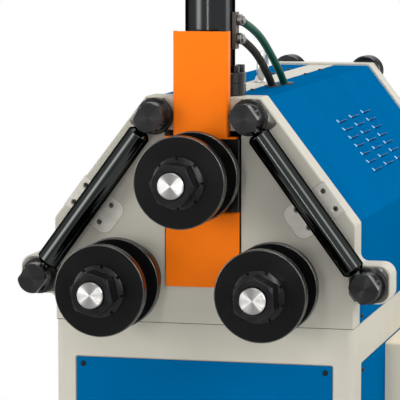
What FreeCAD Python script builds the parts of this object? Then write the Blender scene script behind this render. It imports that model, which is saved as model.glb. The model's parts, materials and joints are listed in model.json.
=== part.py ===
"""Hydraulic three-roll ring bending machine, floor standing.

Every piece is modelled from one datum: X right of the slide's centre line, Y back from the front
plate's face, Z up from the top of the base cabinet. On writing, a piece is moved to the machine's
own frame, whose origin is on the floor under the middle of the footprint.
"""
import FreeCAD
import Part
import math
import os

Vector = FreeCAD.Vector
full_turn = 360.0
touching = 1e-6

# Overall sizes
seam_height = 790.0
body_depth = 1146.0
plate_thickness = 60.0
face_clearance = 0.3
turning_clearance = 0.05
overrun = 5.0

# Front plate outline, half widths from the centre line and heights above the cabinet
top_half = 105.0
top_height = 409.0
top_corner_radius = 6.0
shoulder_overhang = 2.0
shoulder_height = 186.0
shoulder_radius = 12.0
ear_reach = 64.0
ear_top_height = 117.0
ear_bottom_height = 47.0
ear_radius = 22.0
ear_fillet_radius = 14.0
plate_edge_chamfer = 2.0
slot_half = 70.0
slot_bottom_height = 87.0
slot_crown = 60.0
slot_corner_radius = 6.0

# Roll stations
lower_roll_half_pitch = 143.0
lower_roll_height = 80.0
roll_radius = 81.0
roll_front_stand = 178.0
roll_disc_thickness = 20.0
roll_core_length = 78.0
roll_core_radius = 52.0
roll_edge_chamfer = 1.5
set_screw_radius = 3.0
set_screw_pitch_radius = 60.0
set_screw_depth = 2.0

# Roll shafts
shaft_seat_radius = 25.0
shaft_thread_radius = 23.5
shaft_thread_length = 60.0
shaft_end_chamfer = 2.5
shaft_shoulder_radius = 42.0
shaft_bearing_radius = 32.0
shaft_rear_radius = 27.0
lower_shaft_rear_stop = 30.0

# Lock washer and hexagon nut on each shaft
washer_radius = 46.0
washer_thickness = 7.0
washer_tab_count = 8
washer_tab_width = 5.0
washer_tab_depth = 5.0
nut_across_flats = 70.0
nut_height = 46.0
nut_chamfer_angle = 30.0
nut_turns = {"left": 13.0, "right": 4.0, "top": 24.0}

# Bearings
front_bearing_radius = 55.0
front_bearing_width = 44.0
rear_bearing_radius = 46.0
rear_bearing_width = 36.0
bearing_ring_share = 0.36
bearing_groove_depth = 2.0
bearing_cap_radius = 66.0
bearing_cap_thickness = 14.0
bearing_cap_screw_count = 6
cap_screw_radius = 5.0

# Guide posts at the ends of the slanted bars
upper_post_half = 86.0
upper_post_drop = 35.0
lower_post_inset = 38.0
lower_post_height = 81.0
post_radius = 27.0
post_stand = 60.0
post_flat_distance = 21.2
post_flat_depth = 8.0
post_edge_chamfer = 2.0
post_collar_radius = 33.0
post_collar_length = 12.0
foot_size = 78.0
foot_corner_radius = 14.0
foot_thickness = 4.0
foot_margin = 1.5
post_stud_radius = 12.0
upper_stud_length = 26.0
tie_rod_radius = 12.0
tie_rod_drop = 20.0
tie_rod_blind = 25.0
tie_nut_radius = 34.0
tie_nut_height = 52.0
tie_nut_dome = 10.0
stud_nut_across_flats = 36.0
stud_nut_height = 19.0

# Slanted bars
bar_radius = 21.0
bar_depth = 33.0
bar_end_gap = 15.5
bar_end_chamfer = 6.0
bar_neck_radius = 8.0
bar_neck_reach = 8.0

# Tapped pads beside the bars
pad_along = 66.0
pad_inner_reach = 56.0
pad_outer_reach = 41.5
pad_drop = 18.5
pad_corner_radius = 18.0
pad_thickness = 25.0
pad_joint = 0.3
pad_hole_radius = 4.25
pad_hole_along = 38.0
pad_hole_across = 58.0
pad_hole_mouth = 1.6

# Slide
slide_half = 68.0
slide_top_gap = 13.0
slide_height = 132.0
top_roll_drop = 64.0
slide_depth = 160.0
slide_travel = 105.0
slide_bore_radius = 46.0
slide_bearing_width = 34.0
slide_waist_radius = 38.0
slide_groove_depth = 13.0
slide_groove_width = 30.0
slide_groove_place = 110.0
nose_thickness = 16.0
nose_bore_radius = 44.0
nose_corner_radius = 3.0
lower_guard_half = 67.5
lower_guard_bottom_height = 68.0
guard_thickness = 3.0
guard_stand = 1.0
guard_lip_depth = 40.0
upper_guard_half = 50.0
upper_guard_length = 190.0
upper_guard_stand = 21.0
upper_guard_bend = 4.0
guard_foot_half = 65.0

# Guide rails and bridge behind the front plate
rail_width = 40.0
rail_tongue_depth = 12.0
bridge_half = 116.0
bridge_depth = 112.0
crown_depth = 68.0

# Press cylinder
cylinder_depth = 55.0
rod_radius = 22.5
rod_hole_clearance = 2.0
rod_foot_radius = 34.0
rod_foot_height = 9.0
flange_radius = 64.5
flange_height = 42.0
flange_groove_depth = 1.5
flange_groove_width = 3.0
flange_groove_height = 20.0
flange_bolt_count = 8
flange_bolt_radius = 55.0
flange_bolt_head_radius = 8.0
flange_bolt_head_height = 12.0
flange_bolt_socket_radius = 4.0
flange_bolt_socket_depth = 6.0
barrel_radius = 45.0
barrel_bore_radius = 35.0
barrel_length = 238.0
piston_length = 30.0
piston_top_gap = 12.0
piston_clearance = 0.06
end_cap_radius = 52.0
end_cap_height = 26.0
end_cap_spigot = 8.0
end_cap_nut_across_flats = 30.0
end_cap_nut_height = 12.0
port_block_width = 26.0
port_block_stand = 5.0
port_block_rise = 41.0
port_block_height = 66.0
port_bolt_across_flats = 14.0
port_bolt_head = 4.0
port_ring_radius = 10.0
port_ring_width = 9.0
valve_nut_across_flats = 19.0
valve_nut_height = 9.0
ferrule_radius = 8.6
ferrule_length = 22.0

# Hoses
hose_radius = 7.2
hose_bend_share = 0.45
grommet_half_length = 26.0
grommet_half_width = 13.5
grommet_thickness = 3.0
grommet_groove = 1.2
hose_start_y = 82.0
green_grommet_x = 57.0
green_grommet_y = 443.0
black_grommet_x = 46.5
black_grommet_y = 374.0
green_start_rise = 129.5
green_end_x = 58.0
green_hose_bends = (
    (57.6, 172.0, 111.5),
    (57.4, 292.0, 67.5),
    (57.0, 452.0, -9.0),
    (57.0, 503.0, -91.0),
    (57.0, 508.0, -229.0),
)
black_start_rise = 96.0
black_end_x = 47.0
black_hose_bends = (
    (53.8, 150.0, 82.0),
    (50.6, 256.0, 49.0),
    (46.5, 398.0, -16.5),
    (46.5, 436.0, -104.0),
    (48.0, 440.0, -229.0),
)

# Sheet covers between the plates
cover_inset = 4.0
cover_thickness = 2.0
cover_inner_edge = 28.0
cover_bend_radius = 5.0
strip_half = 45.0
strip_thickness = 8.0
cover_screw_x = 34.0
cover_screw_front = 190.0
cover_screw_rears = (336.0, 184.0)
cover_foot_screw_back = 32.0
cover_foot_screw_height = 12.0
cover_tab_thickness = 12.0
cover_tab_half = 10.0
cover_tab_length = 44.0
screw_head_radius = 5.0
screw_head_height = 3.0
screw_socket_across_flats = 3.4
screw_socket_depth = 1.5
screw_shank_radius = 2.4
screw_shank_length = 9.0
screw_hole_clearance = 0.1
louver_rows = 7
louver_columns = 3
louver_row_pitch = 19.2
louver_column_pitch = 129.5
louver_first_row = 90.0
louver_first_column = 449.0
louver_length = 80.0
louver_width = 7.0
louver_rise = 2.2
louver_slit = 2.4

# Lifting eye
eye_place = 495.0
eye_height = 62.0
eye_ring_radius = 24.5
eye_wire_radius = 7.0
eye_collar_radius = 17.5
eye_collar_height = 12.0
eye_neck_radius = 9.0

# Base cabinet
cabinet_half = 274.0
cabinet_wall = 3.0
cabinet_corner_radius = 12.0
cabinet_top_thickness = 10.0
cabinet_floor_thickness = 8.0
panel_gap = 2.0
panel_lip = 15.0
panel_corner_radius = 2.5
front_panel_margin = 38.0
panel_top_drop = 67.0
side_panel_top_drop = 74.0
panel_bottom_rise = 70.0
side_panel_front = 81.0
panel_screw_inset = 12.5
anchor_hole_radius = 9.0
anchor_inset = 54.0
motor_opening_radius = 92.0
gear_opening_half = 92.0
gear_opening_margin = 12.0
hose_opening_inner = 5.0
hose_opening_outer = 110.0

# Electric box on the right side
box_front = 335.0
box_length = 500.0
box_width = 178.0
box_height = 500.0
box_top_drop = 75.0
box_wall = 2.0
box_rim = 15.0
box_corner_radius = 5.0
door_gap = 0.6
door_depth = 15.0
door_wall = 2.0
hinge_pin_radius = 3.0
hinge_knuckle_radius = 5.5
hinge_stand = 7.0
hinge_knuckle_height = 22.0
hinge_inset = 70.0
hinge_leaf_reach = 26.0
hinge_leaf_thickness = 1.5
latch_inset = 32.0
latch_knob_radius = 13.0
latch_knob_height = 8.0
latch_slot_width = 3.0
latch_slot_depth = 2.5
latch_spindle_radius = 6.0
latch_cam_gap = 0.5
latch_cam_length = 27.0
latch_cam_width = 12.0
latch_cam_thickness = 4.0

# Roll drive
gear_module = 6.0
gear_teeth = 36
pinion_teeth = 15
pressure_angle = 20.0
tooth_addendum_share = 1.0
tooth_dedendum_share = 1.2
tooth_backlash = 0.5
flank_steps = 3
gear_stand = 346.0
gear_width = 50.0
gear_hub_radius = 52.0
gear_hub_length = 18.0
gear_web_radius = 84.0
gear_web_recess = 14.0
pinion_shaft_radius = 20.0
reducer_gap = 14.0
reducer_half = 78.0
reducer_height = 92.0
reducer_corner_radius = 16.0
drive_motor_radius = 72.0
drive_motor_length = 250.0
drive_motor_collar = 14.0
motor_cowl_length = 46.0
motor_fin_count = 24
motor_fin_height = 6.0
motor_fin_width = 3.0

# Hydraulic unit in the cabinet
tank_half = 182.0
tank_front = 150.0
tank_back = 560.0
tank_height = 250.0
tank_wall = 4.0
tank_rise = 40.0
tank_lid_overhang = 10.0
tank_lid_thickness = 6.0
pump_motor_x = -70.0
pump_motor_y = 280.0
pump_motor_radius = 72.0
pump_motor_length = 210.0
pump_radius = 38.0
pump_length = 110.0
pump_opening_radius = 46.0
valve_half_x = 38.0
valve_half_y = 75.0
valve_center_x = 62.0
valve_center_y = 474.0
valve_height = 60.0
solenoid_radius = 18.0
solenoid_length = 60.0
solenoid_spread = 38.0

# Worked out from the sizes above
datum = Vector(0, -body_depth / 2, seam_height)
shoulder_half = cabinet_half + shoulder_overhang
ear_half = shoulder_half + ear_reach
front_panel_half = cabinet_half - front_panel_margin
slot_top_height = top_height - slot_crown
slide_top_height = slot_top_height - slide_top_gap
slide_bottom_height = slide_top_height - slide_height
top_roll_height = slide_top_height - top_roll_drop
upper_guard_top_height = slide_top_height + upper_guard_length
upper_post_height = top_height - upper_post_drop
lower_post_half = ear_half - lower_post_inset
tie_rod_height = top_height - tie_rod_drop
tie_rod_start = plate_thickness - tie_rod_blind
rear_face = body_depth
rear_inner_face = body_depth - plate_thickness
roll_rear_stand = roll_front_stand - 2 * roll_disc_thickness - roll_core_length
cover_top_height = top_height - cover_inset
strip_top_height = cover_top_height - cover_thickness
cabinet_floor = -seam_height
flange_top_height = top_height + flange_height
barrel_top_height = flange_top_height + barrel_length
port_block_bottom_height = flange_top_height + port_block_rise
port_block_top_height = port_block_bottom_height + port_block_height
gear_front = rear_face - gear_stand
lower_roll_places = {
    "left": (-lower_roll_half_pitch, lower_roll_height),
    "right": (lower_roll_half_pitch, lower_roll_height),
}
gear_radius = gear_module * gear_teeth / 2
pinion_radius = gear_module * pinion_teeth / 2
pinion_rise = math.sqrt((gear_radius + pinion_radius) ** 2 - lower_roll_half_pitch ** 2)
pinion_height = lower_roll_height + pinion_rise
bar_run = Vector(lower_post_half - upper_post_half, 0, lower_post_height - upper_post_height)
bar_angle = math.degrees(math.atan2(bar_run.x, -bar_run.z))
panel_top = -panel_top_drop
side_panel_top = -side_panel_top_drop
panel_bottom = cabinet_floor + panel_bottom_rise


def box(x_span, y_span, z_span):
    """Block between the low and high values of three spans."""
    low = Vector(x_span[0], y_span[0], z_span[0])
    return Part.makeBox(x_span[1] - x_span[0], y_span[1] - y_span[0], z_span[1] - z_span[0], low)


def both_ways(span, reach):
    """Span made longer by a reach at both ends."""
    return (span[0] - reach, span[1] + reach)


def rod_x(radius, x_span, y, z):
    """Cylinder along X at (y, z)."""
    return Part.makeCylinder(radius, x_span[1] - x_span[0], Vector(x_span[0], y, z), Vector(1, 0, 0))


def rod_y(radius, y_span, x, z):
    """Cylinder along Y at (x, z)."""
    return Part.makeCylinder(radius, y_span[1] - y_span[0], Vector(x, y_span[0], z), Vector(0, 1, 0))


def rod_z(radius, z_span, x, y):
    """Cylinder along Z at (x, y)."""
    return Part.makeCylinder(radius, z_span[1] - z_span[0], Vector(x, y, z_span[0]), Vector(0, 0, 1))


def rounded_wire(corners, place):
    """Closed wire through (u, v, radius) corners; place turns a pair (u, v) into a point."""
    arcs = []
    for index, (u, v, radius) in enumerate(corners):
        here = Vector(u, v, 0)
        if radius <= 0:
            arcs.append((here, here, here))
            continue
        before = corners[index - 1]
        after = corners[(index + 1) % len(corners)]
        to_before = (Vector(before[0], before[1], 0) - here).normalize()
        to_after = (Vector(after[0], after[1], 0) - here).normalize()
        half_angle = to_before.getAngle(to_after) / 2
        reach = radius / math.tan(half_angle)
        inward = (to_before + to_after).normalize()
        middle = here + inward * (radius / math.sin(half_angle) - radius)
        arcs.append((here + to_before * reach, middle, here + to_after * reach))
    edges = []
    for index, (start, middle, end) in enumerate(arcs):
        following = arcs[(index + 1) % len(arcs)][0]
        if start != end:
            points = [place(point.x, point.y) for point in (start, middle, end)]
            edges.append(Part.Arc(*points).toShape())
        if (following - end).Length > touching:
            run = Part.LineSegment(place(end.x, end.y), place(following.x, following.y))
            edges.append(run.toShape())
    return Part.Wire(edges)


def prism_y(corners, y_span):
    """Outline of (x, z, radius) corners carried along Y."""
    wire = rounded_wire(corners, lambda u, v: Vector(u, y_span[0], v))
    return Part.Face(wire).extrude(Vector(0, y_span[1] - y_span[0], 0))


def prism_x(corners, x_span):
    """Outline of (y, z, radius) corners carried along X."""
    wire = rounded_wire(corners, lambda u, v: Vector(x_span[0], u, v))
    return Part.Face(wire).extrude(Vector(x_span[1] - x_span[0], 0, 0))


def prism_z(corners, z_span):
    """Outline of (x, y, radius) corners carried along Z."""
    wire = rounded_wire(corners, lambda u, v: Vector(u, v, z_span[0]))
    return Part.Face(wire).extrude(Vector(0, 0, z_span[1] - z_span[0]))


def rectangle(u_span, v_span, radius):
    """Corners of a rectangle with one corner radius."""
    return [
        (u_span[0], v_span[0], radius),
        (u_span[1], v_span[0], radius),
        (u_span[1], v_span[1], radius),
        (u_span[0], v_span[1], radius),
    ]


def turned(profile, base, axis, side):
    """Solid of revolution: profile pairs are (distance along axis, radius)."""
    points = [(profile[0][0], 0)] + list(profile) + [(profile[-1][0], 0)]
    corners = [base + axis * along + side * radius for along, radius in points]
    wire = Part.makePolygon(corners + [corners[0]])
    return Part.Face(wire).revolve(base, axis, full_turn)


def turned_y(profile, x, z):
    """Turned piece along Y at (x, z); profile pairs are (y, radius)."""
    return turned(profile, Vector(x, 0, z), Vector(0, 1, 0), Vector(1, 0, 0))


def turned_z(profile, x, y):
    """Turned piece along Z at (x, y); profile pairs are (z, radius)."""
    return turned(profile, Vector(x, y, 0), Vector(0, 0, 1), Vector(1, 0, 0))


def cut_all(solid, cutters):
    """Solid less every cutter."""
    return solid.cut(cutters) if cutters else solid


def fuse_all(solids):
    """One solid from several that touch."""
    return solids[0].fuse(solids[1:]).removeSplitter()


def mirrored(solid):
    """Copy on the other side of the centre plane."""
    return solid.mirror(Vector(0, 0, 0), Vector(1, 0, 0))


def offset_path(points, distance):
    """Open path moved sideways by a distance, to the right of its direction, with mitred corners."""
    moved = []
    for index, (u, v) in enumerate(points):
        here = Vector(u, v, 0)
        normals = []
        for first, second in ((index - 1, index), (index, index + 1)):
            if first < 0 or second >= len(points):
                continue
            run = Vector(*points[second], 0) - Vector(*points[first], 0)
            run.normalize()
            normals.append(Vector(run.y, -run.x, 0))
        bisector = sum(normals[1:], normals[0])
        bisector.normalize()
        here = here + bisector * (distance / bisector.dot(normals[0]))
        moved.append((here.x, here.y))
    return moved


def folded_sheet(points, thickness, bend_radius):
    """Corners of a bent sheet: points run along its outer face, thickness goes to the right."""
    inner = offset_path(points, thickness)
    outer_radii = [0] + [bend_radius] * (len(points) - 2) + [0]
    inner_radii = [0] + [max(bend_radius - thickness, thickness / 2)] * (len(points) - 2) + [0]
    corners = [(u, v, radius) for (u, v), radius in zip(points, outer_radii)]
    corners += [(u, v, radius) for (u, v), radius in zip(reversed(inner), inner_radii)]
    return corners


def hexagon(across_flats, turn):
    """Corner pairs of a hexagon, turned by an angle in degrees."""
    reach = across_flats / math.sqrt(3)
    angles = [math.radians(turn + full_turn * step / 6) for step in range(6)]
    return [(reach * math.cos(angle), reach * math.sin(angle)) for angle in angles]


def hex_nut_y(across_flats, y_span, x, z, turn, bore_radius):
    """Hexagon nut along Y with its front corners chamfered."""
    corners = [(x + u, z + v, 0) for u, v in hexagon(across_flats, turn)]
    corner_radius = across_flats / math.sqrt(3)
    flat_radius = across_flats / 2
    bevel = (corner_radius - flat_radius) * math.tan(math.radians(nut_chamfer_angle))
    envelope = turned_y(
        [
            (y_span[0], flat_radius),
            (y_span[0] + bevel, corner_radius),
            (y_span[1], corner_radius),
        ],
        x,
        z,
    )
    nut = prism_y(corners, y_span).common(envelope)
    if bore_radius > 0:
        nut = nut.cut(rod_y(bore_radius, (y_span[0] - overrun, y_span[1] + overrun), x, z))
    return nut


def hex_piece_x(across_flats, x_span, y, z):
    """Hexagonal piece along X."""
    corners = [(y + u, z + v, 0) for u, v in hexagon(across_flats, 0)]
    return prism_x(corners, x_span)


def tilted(solid, angle):
    """Turn about Y through the datum, in the sense that leans a vertical bar outwards at its foot."""
    copy = solid.copy()
    copy.rotate(Vector(0, 0, 0), Vector(0, 1, 0), -angle)
    return copy


def compound(solids):
    """Separate solids kept together in one file."""
    parts = []
    for solid in solids:
        parts += solid.Solids
    return Part.Compound(parts)


def publish(name, solids):
    """Move a node from the datum to the machine's frame and write its file."""
    shape = compound(solids) if isinstance(solids, list) else compound([solids])
    shape = shape.copy()
    shape.translate(datum)
    if not shape.isValid():
        print("not valid:", name)
    shape.exportStep(os.path.join("parts", name + ".step"))


# Frame plates

def plate_outline(with_ears):
    """Corners of a frame plate, with or without the ears that carry the lower posts."""
    right = [
        (top_half, top_height, top_corner_radius),
        (shoulder_half, shoulder_height, shoulder_radius),
    ]
    if with_ears:
        right += [
            (shoulder_half, ear_top_height, ear_fillet_radius),
            (ear_half, ear_top_height, ear_radius),
            (ear_half, ear_bottom_height, ear_radius),
            (cabinet_half, ear_bottom_height, ear_fillet_radius),
            (cabinet_half, 0, 0),
        ]
    else:
        right.append((shoulder_half, 0, 0))
    left = [(-x, z, radius) for x, z, radius in reversed(right)]
    return right + left


def chamfer_front_edges(solid, y, size):
    """Bevel the outer edges that lie in the plane at y."""
    edges = []
    for edge in solid.Edges:
        bounds = edge.BoundBox
        if abs(bounds.YMin - y) < turning_clearance and abs(bounds.YMax - y) < turning_clearance:
            if bounds.ZMin > turning_clearance:
                edges.append(edge)
    return solid.makeChamfer(size, edges)


def pad_corners(grow):
    """Corners of a tapped pad beside the right bar, before it leans, about the datum."""
    return [
        (pad_outer_reach + grow, pad_along / 2 + grow, 0),
        (-pad_inner_reach - grow, pad_along / 2 + grow, pad_corner_radius + grow),
        (-pad_inner_reach - grow, -pad_along / 2 - grow, pad_corner_radius + grow),
        (pad_outer_reach + grow, -pad_along / 2 - grow, 0),
    ]


bar_unit = Vector(bar_run).normalize()
bar_length = bar_run.Length
pad_center = Vector(upper_post_half, 0, upper_post_height) + bar_unit * (bar_length / 2 + pad_drop)


def leaned(solid, center):
    """Lean a piece that is modelled upright about the datum, and carry it to its centre."""
    copy = tilted(solid, bar_angle)
    copy.translate(center)
    return copy


def pad_hole_centers():
    """Places of the four tapped holes of the right pad."""
    centers = []
    for side in (-1, 1):
        for end in (-1, 1):
            place = Vector(side * pad_hole_across / 2, 0, end * pad_hole_along / 2)
            turn = FreeCAD.Rotation(Vector(0, 1, 0), -bar_angle)
            centers.append(turn.multVec(place) + pad_center)
    return centers


def lower_bores(radius, y_span):
    """Cutters at both lower roll stations."""
    return [rod_y(radius, y_span, x, z) for x, z in lower_roll_places.values()]


def make_front_plate():
    """Thick front plate with its slide slot, ears, bearing bores and pad pockets."""
    plate = prism_y(plate_outline(True), (0, plate_thickness))
    plate = chamfer_front_edges(plate, 0, plate_edge_chamfer)
    through = (-overrun, plate_thickness + overrun)
    slot = prism_y(
        rectangle((-slot_half, slot_half), (slot_bottom_height, slot_top_height), slot_corner_radius),
        through,
    )
    cutters = [slot] + lower_bores(front_bearing_radius + turning_clearance, through)
    upper_stud = (-overrun, upper_stud_length + face_clearance)
    tie_rod = (tie_rod_start - face_clearance, plate_thickness + overrun)
    for side in (-1, 1):
        x = side * upper_post_half
        cutters.append(rod_y(post_stud_radius + face_clearance, upper_stud, x, upper_post_height))
        cutters.append(rod_y(tie_rod_radius + face_clearance, tie_rod, x, tie_rod_height))
        x = side * lower_post_half
        cutters.append(rod_y(post_stud_radius + face_clearance, through, x, lower_post_height))
    pocket = leaned(prism_y(pad_corners(pad_joint), (-overrun, pad_thickness)), pad_center)
    cutters += [pocket, mirrored(pocket)]
    rod_hole = rod_radius + rod_hole_clearance
    cutters.append(rod_z(rod_hole, (slot_top_height - overrun, top_height + overrun), 0, cylinder_depth))
    tabs = []
    for side in (-1, 1):
        y, z = cover_foot_screw_back + plate_thickness, cover_foot_screw_height
        face = shoulder_half - cover_inset - cover_thickness - face_clearance
        reach = sorted((side * (face - cover_tab_thickness), side * face))
        run = (plate_thickness, plate_thickness + cover_tab_length)
        tabs.append(box(reach, run, (z - cover_tab_half, z + cover_tab_half)))
        cutters.append(rod_x(screw_shank_radius + screw_hole_clearance, reach, y, z))
    return cut_all(fuse_all([plate] + tabs), cutters)


def make_rear_plate():
    """Rear plate with the rear bearing bores and the tie rod holes."""
    plate = prism_y(plate_outline(False), (rear_inner_face, rear_face))
    through = (rear_inner_face - overrun, rear_face + overrun)
    cutters = lower_bores(rear_bearing_radius + turning_clearance, through)
    for side in (-1, 1):
        x = side * upper_post_half
        cutters.append(rod_y(tie_rod_radius + face_clearance, through, x, tie_rod_height))
    return cut_all(plate, cutters)


def make_tool_pads():
    """Two pads let into the front plate, each with four tapped holes."""
    pad = leaned(prism_y(pad_corners(0), (0, pad_thickness)), pad_center)
    for center in pad_hole_centers():
        mouth = turned_y(
            [
                (0, pad_hole_radius + pad_hole_mouth),
                (pad_hole_mouth, pad_hole_radius),
                (pad_thickness, pad_hole_radius),
            ],
            center.x,
            center.z,
        )
        pad = pad.cut(mouth)
    return [pad, mirrored(pad)]


# Guide posts, tie rods and slanted bars

def make_post(center, clip, bar_side):
    """Round post with two milled flats, a square foot and the bore for the slanted bar's neck."""
    body = turned_y(
        [
            (-post_stand, post_radius - post_edge_chamfer),
            (-post_stand + post_edge_chamfer, post_radius),
            (-foot_thickness - post_collar_length, post_radius),
            (-foot_thickness - post_collar_length, post_collar_radius - post_edge_chamfer),
            (-foot_thickness - post_collar_length + post_edge_chamfer, post_collar_radius),
            (-foot_thickness / 2, post_collar_radius),
        ],
        0,
        0,
    )
    flat_width = 2 * math.sqrt(post_radius ** 2 - post_flat_distance ** 2)
    flat_end = -post_stand + post_flat_depth
    for side in (-1, 1):
        reach = sorted((side * post_flat_distance, side * (post_radius + overrun)))
        notch = box(reach, (-post_stand - overrun, flat_end), (-flat_width, flat_width))
        notch = notch.fuse(rod_x(flat_width / 2, reach, flat_end, 0))
        body = body.cut(notch)
    neck_end = post_radius - bar_neck_reach - face_clearance
    neck_span = sorted((bar_side * neck_end, bar_side * (post_radius + overrun)))
    body = body.cut(rod_z(bar_neck_radius + turning_clearance, neck_span, 0, -bar_depth))
    foot = prism_y(
        rectangle((-foot_size / 2, foot_size / 2), (-foot_size / 2, foot_size / 2), foot_corner_radius),
        (-foot_thickness, 0),
    )
    body = leaned(body, center)
    foot = leaned(foot, center).common(clip)
    return fuse_all([foot, body])


def make_guide_posts():
    """Four posts: two at the plate's top and two on its ears, each with its stud."""
    span = (-foot_thickness - overrun, overrun)
    outline = Part.Face(rounded_wire(plate_outline(True), lambda u, v: Vector(u, span[0], v)))
    clip = outline.makeOffset2D(-foot_margin - plate_edge_chamfer)
    clip = clip.extrude(Vector(0, span[1] - span[0], 0))
    slide_way = slide_half + foot_margin
    clip = clip.cut(box((-slide_way, slide_way), span, (0, top_height)))
    posts = []
    for x, z in ((upper_post_half, upper_post_height), (lower_post_half, lower_post_height)):
        bar_side = -1 if z > lower_post_height else 1
        post = make_post(Vector(x, 0, z), clip, bar_side)
        stud_end = plate_thickness + stud_nut_height if z == lower_post_height else upper_stud_length
        post = fuse_all([post, rod_y(post_stud_radius, (-foot_thickness, stud_end), x, z)])
        posts += [post, mirrored(post)]
    return posts


def make_tie_rods():
    """Two rods, screwed into the front plate's back, that clamp the rear plate to it."""
    span = (tie_rod_start, rear_face + tie_nut_height / 2)
    return [rod_y(tie_rod_radius, span, side * upper_post_half, tie_rod_height) for side in (-1, 1)]


def make_tie_nuts():
    """Domed round nuts behind the rear plate and hexagon nuts behind the ears."""
    nuts = []
    for side in (-1, 1):
        x = side * upper_post_half
        dome = turned_y(
            [
                (rear_face, tie_nut_radius),
                (rear_face + tie_nut_height - tie_nut_dome, tie_nut_radius),
                (rear_face + tie_nut_height - tie_nut_dome / 3, tie_nut_radius - tie_nut_dome / 2),
                (rear_face + tie_nut_height, tie_nut_radius - tie_nut_dome * 3 / 2),
            ],
            x,
            tie_rod_height,
        )
        bore = rod_y(
            tie_rod_radius + turning_clearance,
            (rear_face - overrun, rear_face + tie_nut_height / 2 + face_clearance),
            x,
            tie_rod_height,
        )
        nuts.append(dome.cut(bore))
        nuts.append(
            hex_nut_y(
                stud_nut_across_flats,
                (plate_thickness, plate_thickness + stud_nut_height),
                side * lower_post_half,
                lower_post_height,
                0,
                post_stud_radius + turning_clearance,
            )
        )
    return nuts


def make_guide_bars():
    """Two slanted round bars with necked ends that enter the posts."""
    half = bar_length / 2
    body_end = half - post_radius - bar_end_gap
    neck_end = half - post_radius + bar_neck_reach
    profile = [
        (-neck_end, bar_neck_radius),
        (-body_end, bar_neck_radius),
        (-body_end, bar_radius - bar_end_chamfer),
        (-body_end + bar_end_chamfer, bar_radius),
        (body_end - bar_end_chamfer, bar_radius),
        (body_end, bar_radius - bar_end_chamfer),
        (body_end, bar_neck_radius),
        (neck_end, bar_neck_radius),
    ]
    middle = Vector(upper_post_half, -bar_depth, upper_post_height) + bar_run / 2
    bar = leaned(turned_z(profile, 0, 0), middle)
    return [bar, mirrored(bar)]


# Roll sets

def make_shaft(x, z, rear):
    """Front part of a roll shaft: turned end, roll seat, shoulder and bearing journal."""
    nose = -roll_front_stand - shaft_thread_length
    profile = [
        (nose, shaft_thread_radius - shaft_end_chamfer),
        (nose + shaft_end_chamfer, shaft_thread_radius),
        (-roll_front_stand, shaft_thread_radius),
        (-roll_front_stand, shaft_seat_radius),
        (-roll_rear_stand, shaft_seat_radius),
        (-roll_rear_stand, shaft_shoulder_radius),
        (-bearing_cap_thickness - 2 * face_clearance, shaft_shoulder_radius),
        (-bearing_cap_thickness - 2 * face_clearance, shaft_bearing_radius),
    ]
    return turned_y(profile + rear, x, z)


def lower_shaft_rear():
    """Profile of a lower shaft behind its front bearing, through to the rear bearing."""
    step = rear_inner_face - overrun
    return [
        (step, shaft_bearing_radius),
        (step, shaft_rear_radius),
        (rear_face - lower_shaft_rear_stop / 2, shaft_rear_radius),
    ]


def make_disc(y_span, x, z):
    """One roll disc with bevelled rims."""
    low, high = y_span
    outer = [
        (low, roll_radius - roll_edge_chamfer),
        (low + roll_edge_chamfer, roll_radius),
        (high - roll_edge_chamfer, roll_radius),
        (high, roll_radius - roll_edge_chamfer),
    ]
    disc = turned_y(outer, x, z)
    return disc.cut(rod_y(shaft_seat_radius + turning_clearance, both_ways(y_span, overrun), x, z))


def make_front_disc(x, z):
    """Front disc of a roll."""
    return make_disc((-roll_front_stand, -roll_front_stand + roll_disc_thickness), x, z)


def make_rear_disc(x, z):
    """Rear disc of a roll, with the set screw hole that shows beside the front disc."""
    span = (-roll_rear_stand - roll_disc_thickness, -roll_rear_stand)
    disc = make_disc(span, x, z)
    hole_span = (span[0] - overrun, span[0] + set_screw_depth)
    return disc.cut(rod_y(set_screw_radius, hole_span, x + set_screw_pitch_radius, z))


def make_core(x, z):
    """Middle ring of a roll, between its discs."""
    span = (-roll_front_stand + roll_disc_thickness, -roll_rear_stand - roll_disc_thickness)
    core = rod_y(roll_core_radius, span, x, z)
    return core.cut(rod_y(shaft_seat_radius + turning_clearance, both_ways(span, overrun), x, z))


def make_shaft_nut(x, z, turn):
    """Slotted lock washer and hexagon nut that hold the roll on its shaft."""
    washer_span = (-roll_front_stand - washer_thickness, -roll_front_stand)
    bore = rod_y(shaft_thread_radius + turning_clearance, (washer_span[0] - overrun, overrun), x, z)
    washer = rod_y(washer_radius, washer_span, x, z).cut(bore)
    for step in range(washer_tab_count):
        notch = box(
            (washer_radius - washer_tab_depth, washer_radius + overrun),
            (washer_span[0] - overrun, washer_span[1] + overrun),
            (-washer_tab_width / 2, washer_tab_width / 2),
        )
        notch.rotate(Vector(0, 0, 0), Vector(0, 1, 0), turn + full_turn * step / washer_tab_count)
        notch.translate(Vector(x, 0, z))
        washer = washer.cut(notch)
    nut = hex_nut_y(
        nut_across_flats,
        (washer_span[0] - nut_height, washer_span[0]),
        x,
        z,
        turn,
        shaft_thread_radius + turning_clearance,
    )
    return [washer, nut]


# Bearings

def make_bearing(y_span, outer_radius, inner_radius, x, z):
    """Sealed bearing ring with a groove turned between its races on both faces."""
    low, high = y_span
    width = outer_radius - inner_radius
    groove_low = inner_radius + width * bearing_ring_share
    groove_high = outer_radius - width * bearing_ring_share
    ring = turned_y(
        [
            (low, groove_low),
            (low + bearing_groove_depth, groove_low),
            (low + bearing_groove_depth, groove_high),
            (low, groove_high),
            (low, outer_radius),
            (high, outer_radius),
            (high, groove_high),
            (high - bearing_groove_depth, groove_high),
            (high - bearing_groove_depth, groove_low),
            (high, groove_low),
        ],
        x,
        z,
    )
    return ring.cut(rod_y(inner_radius + turning_clearance, (low - overrun, high + overrun), x, z))


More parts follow.
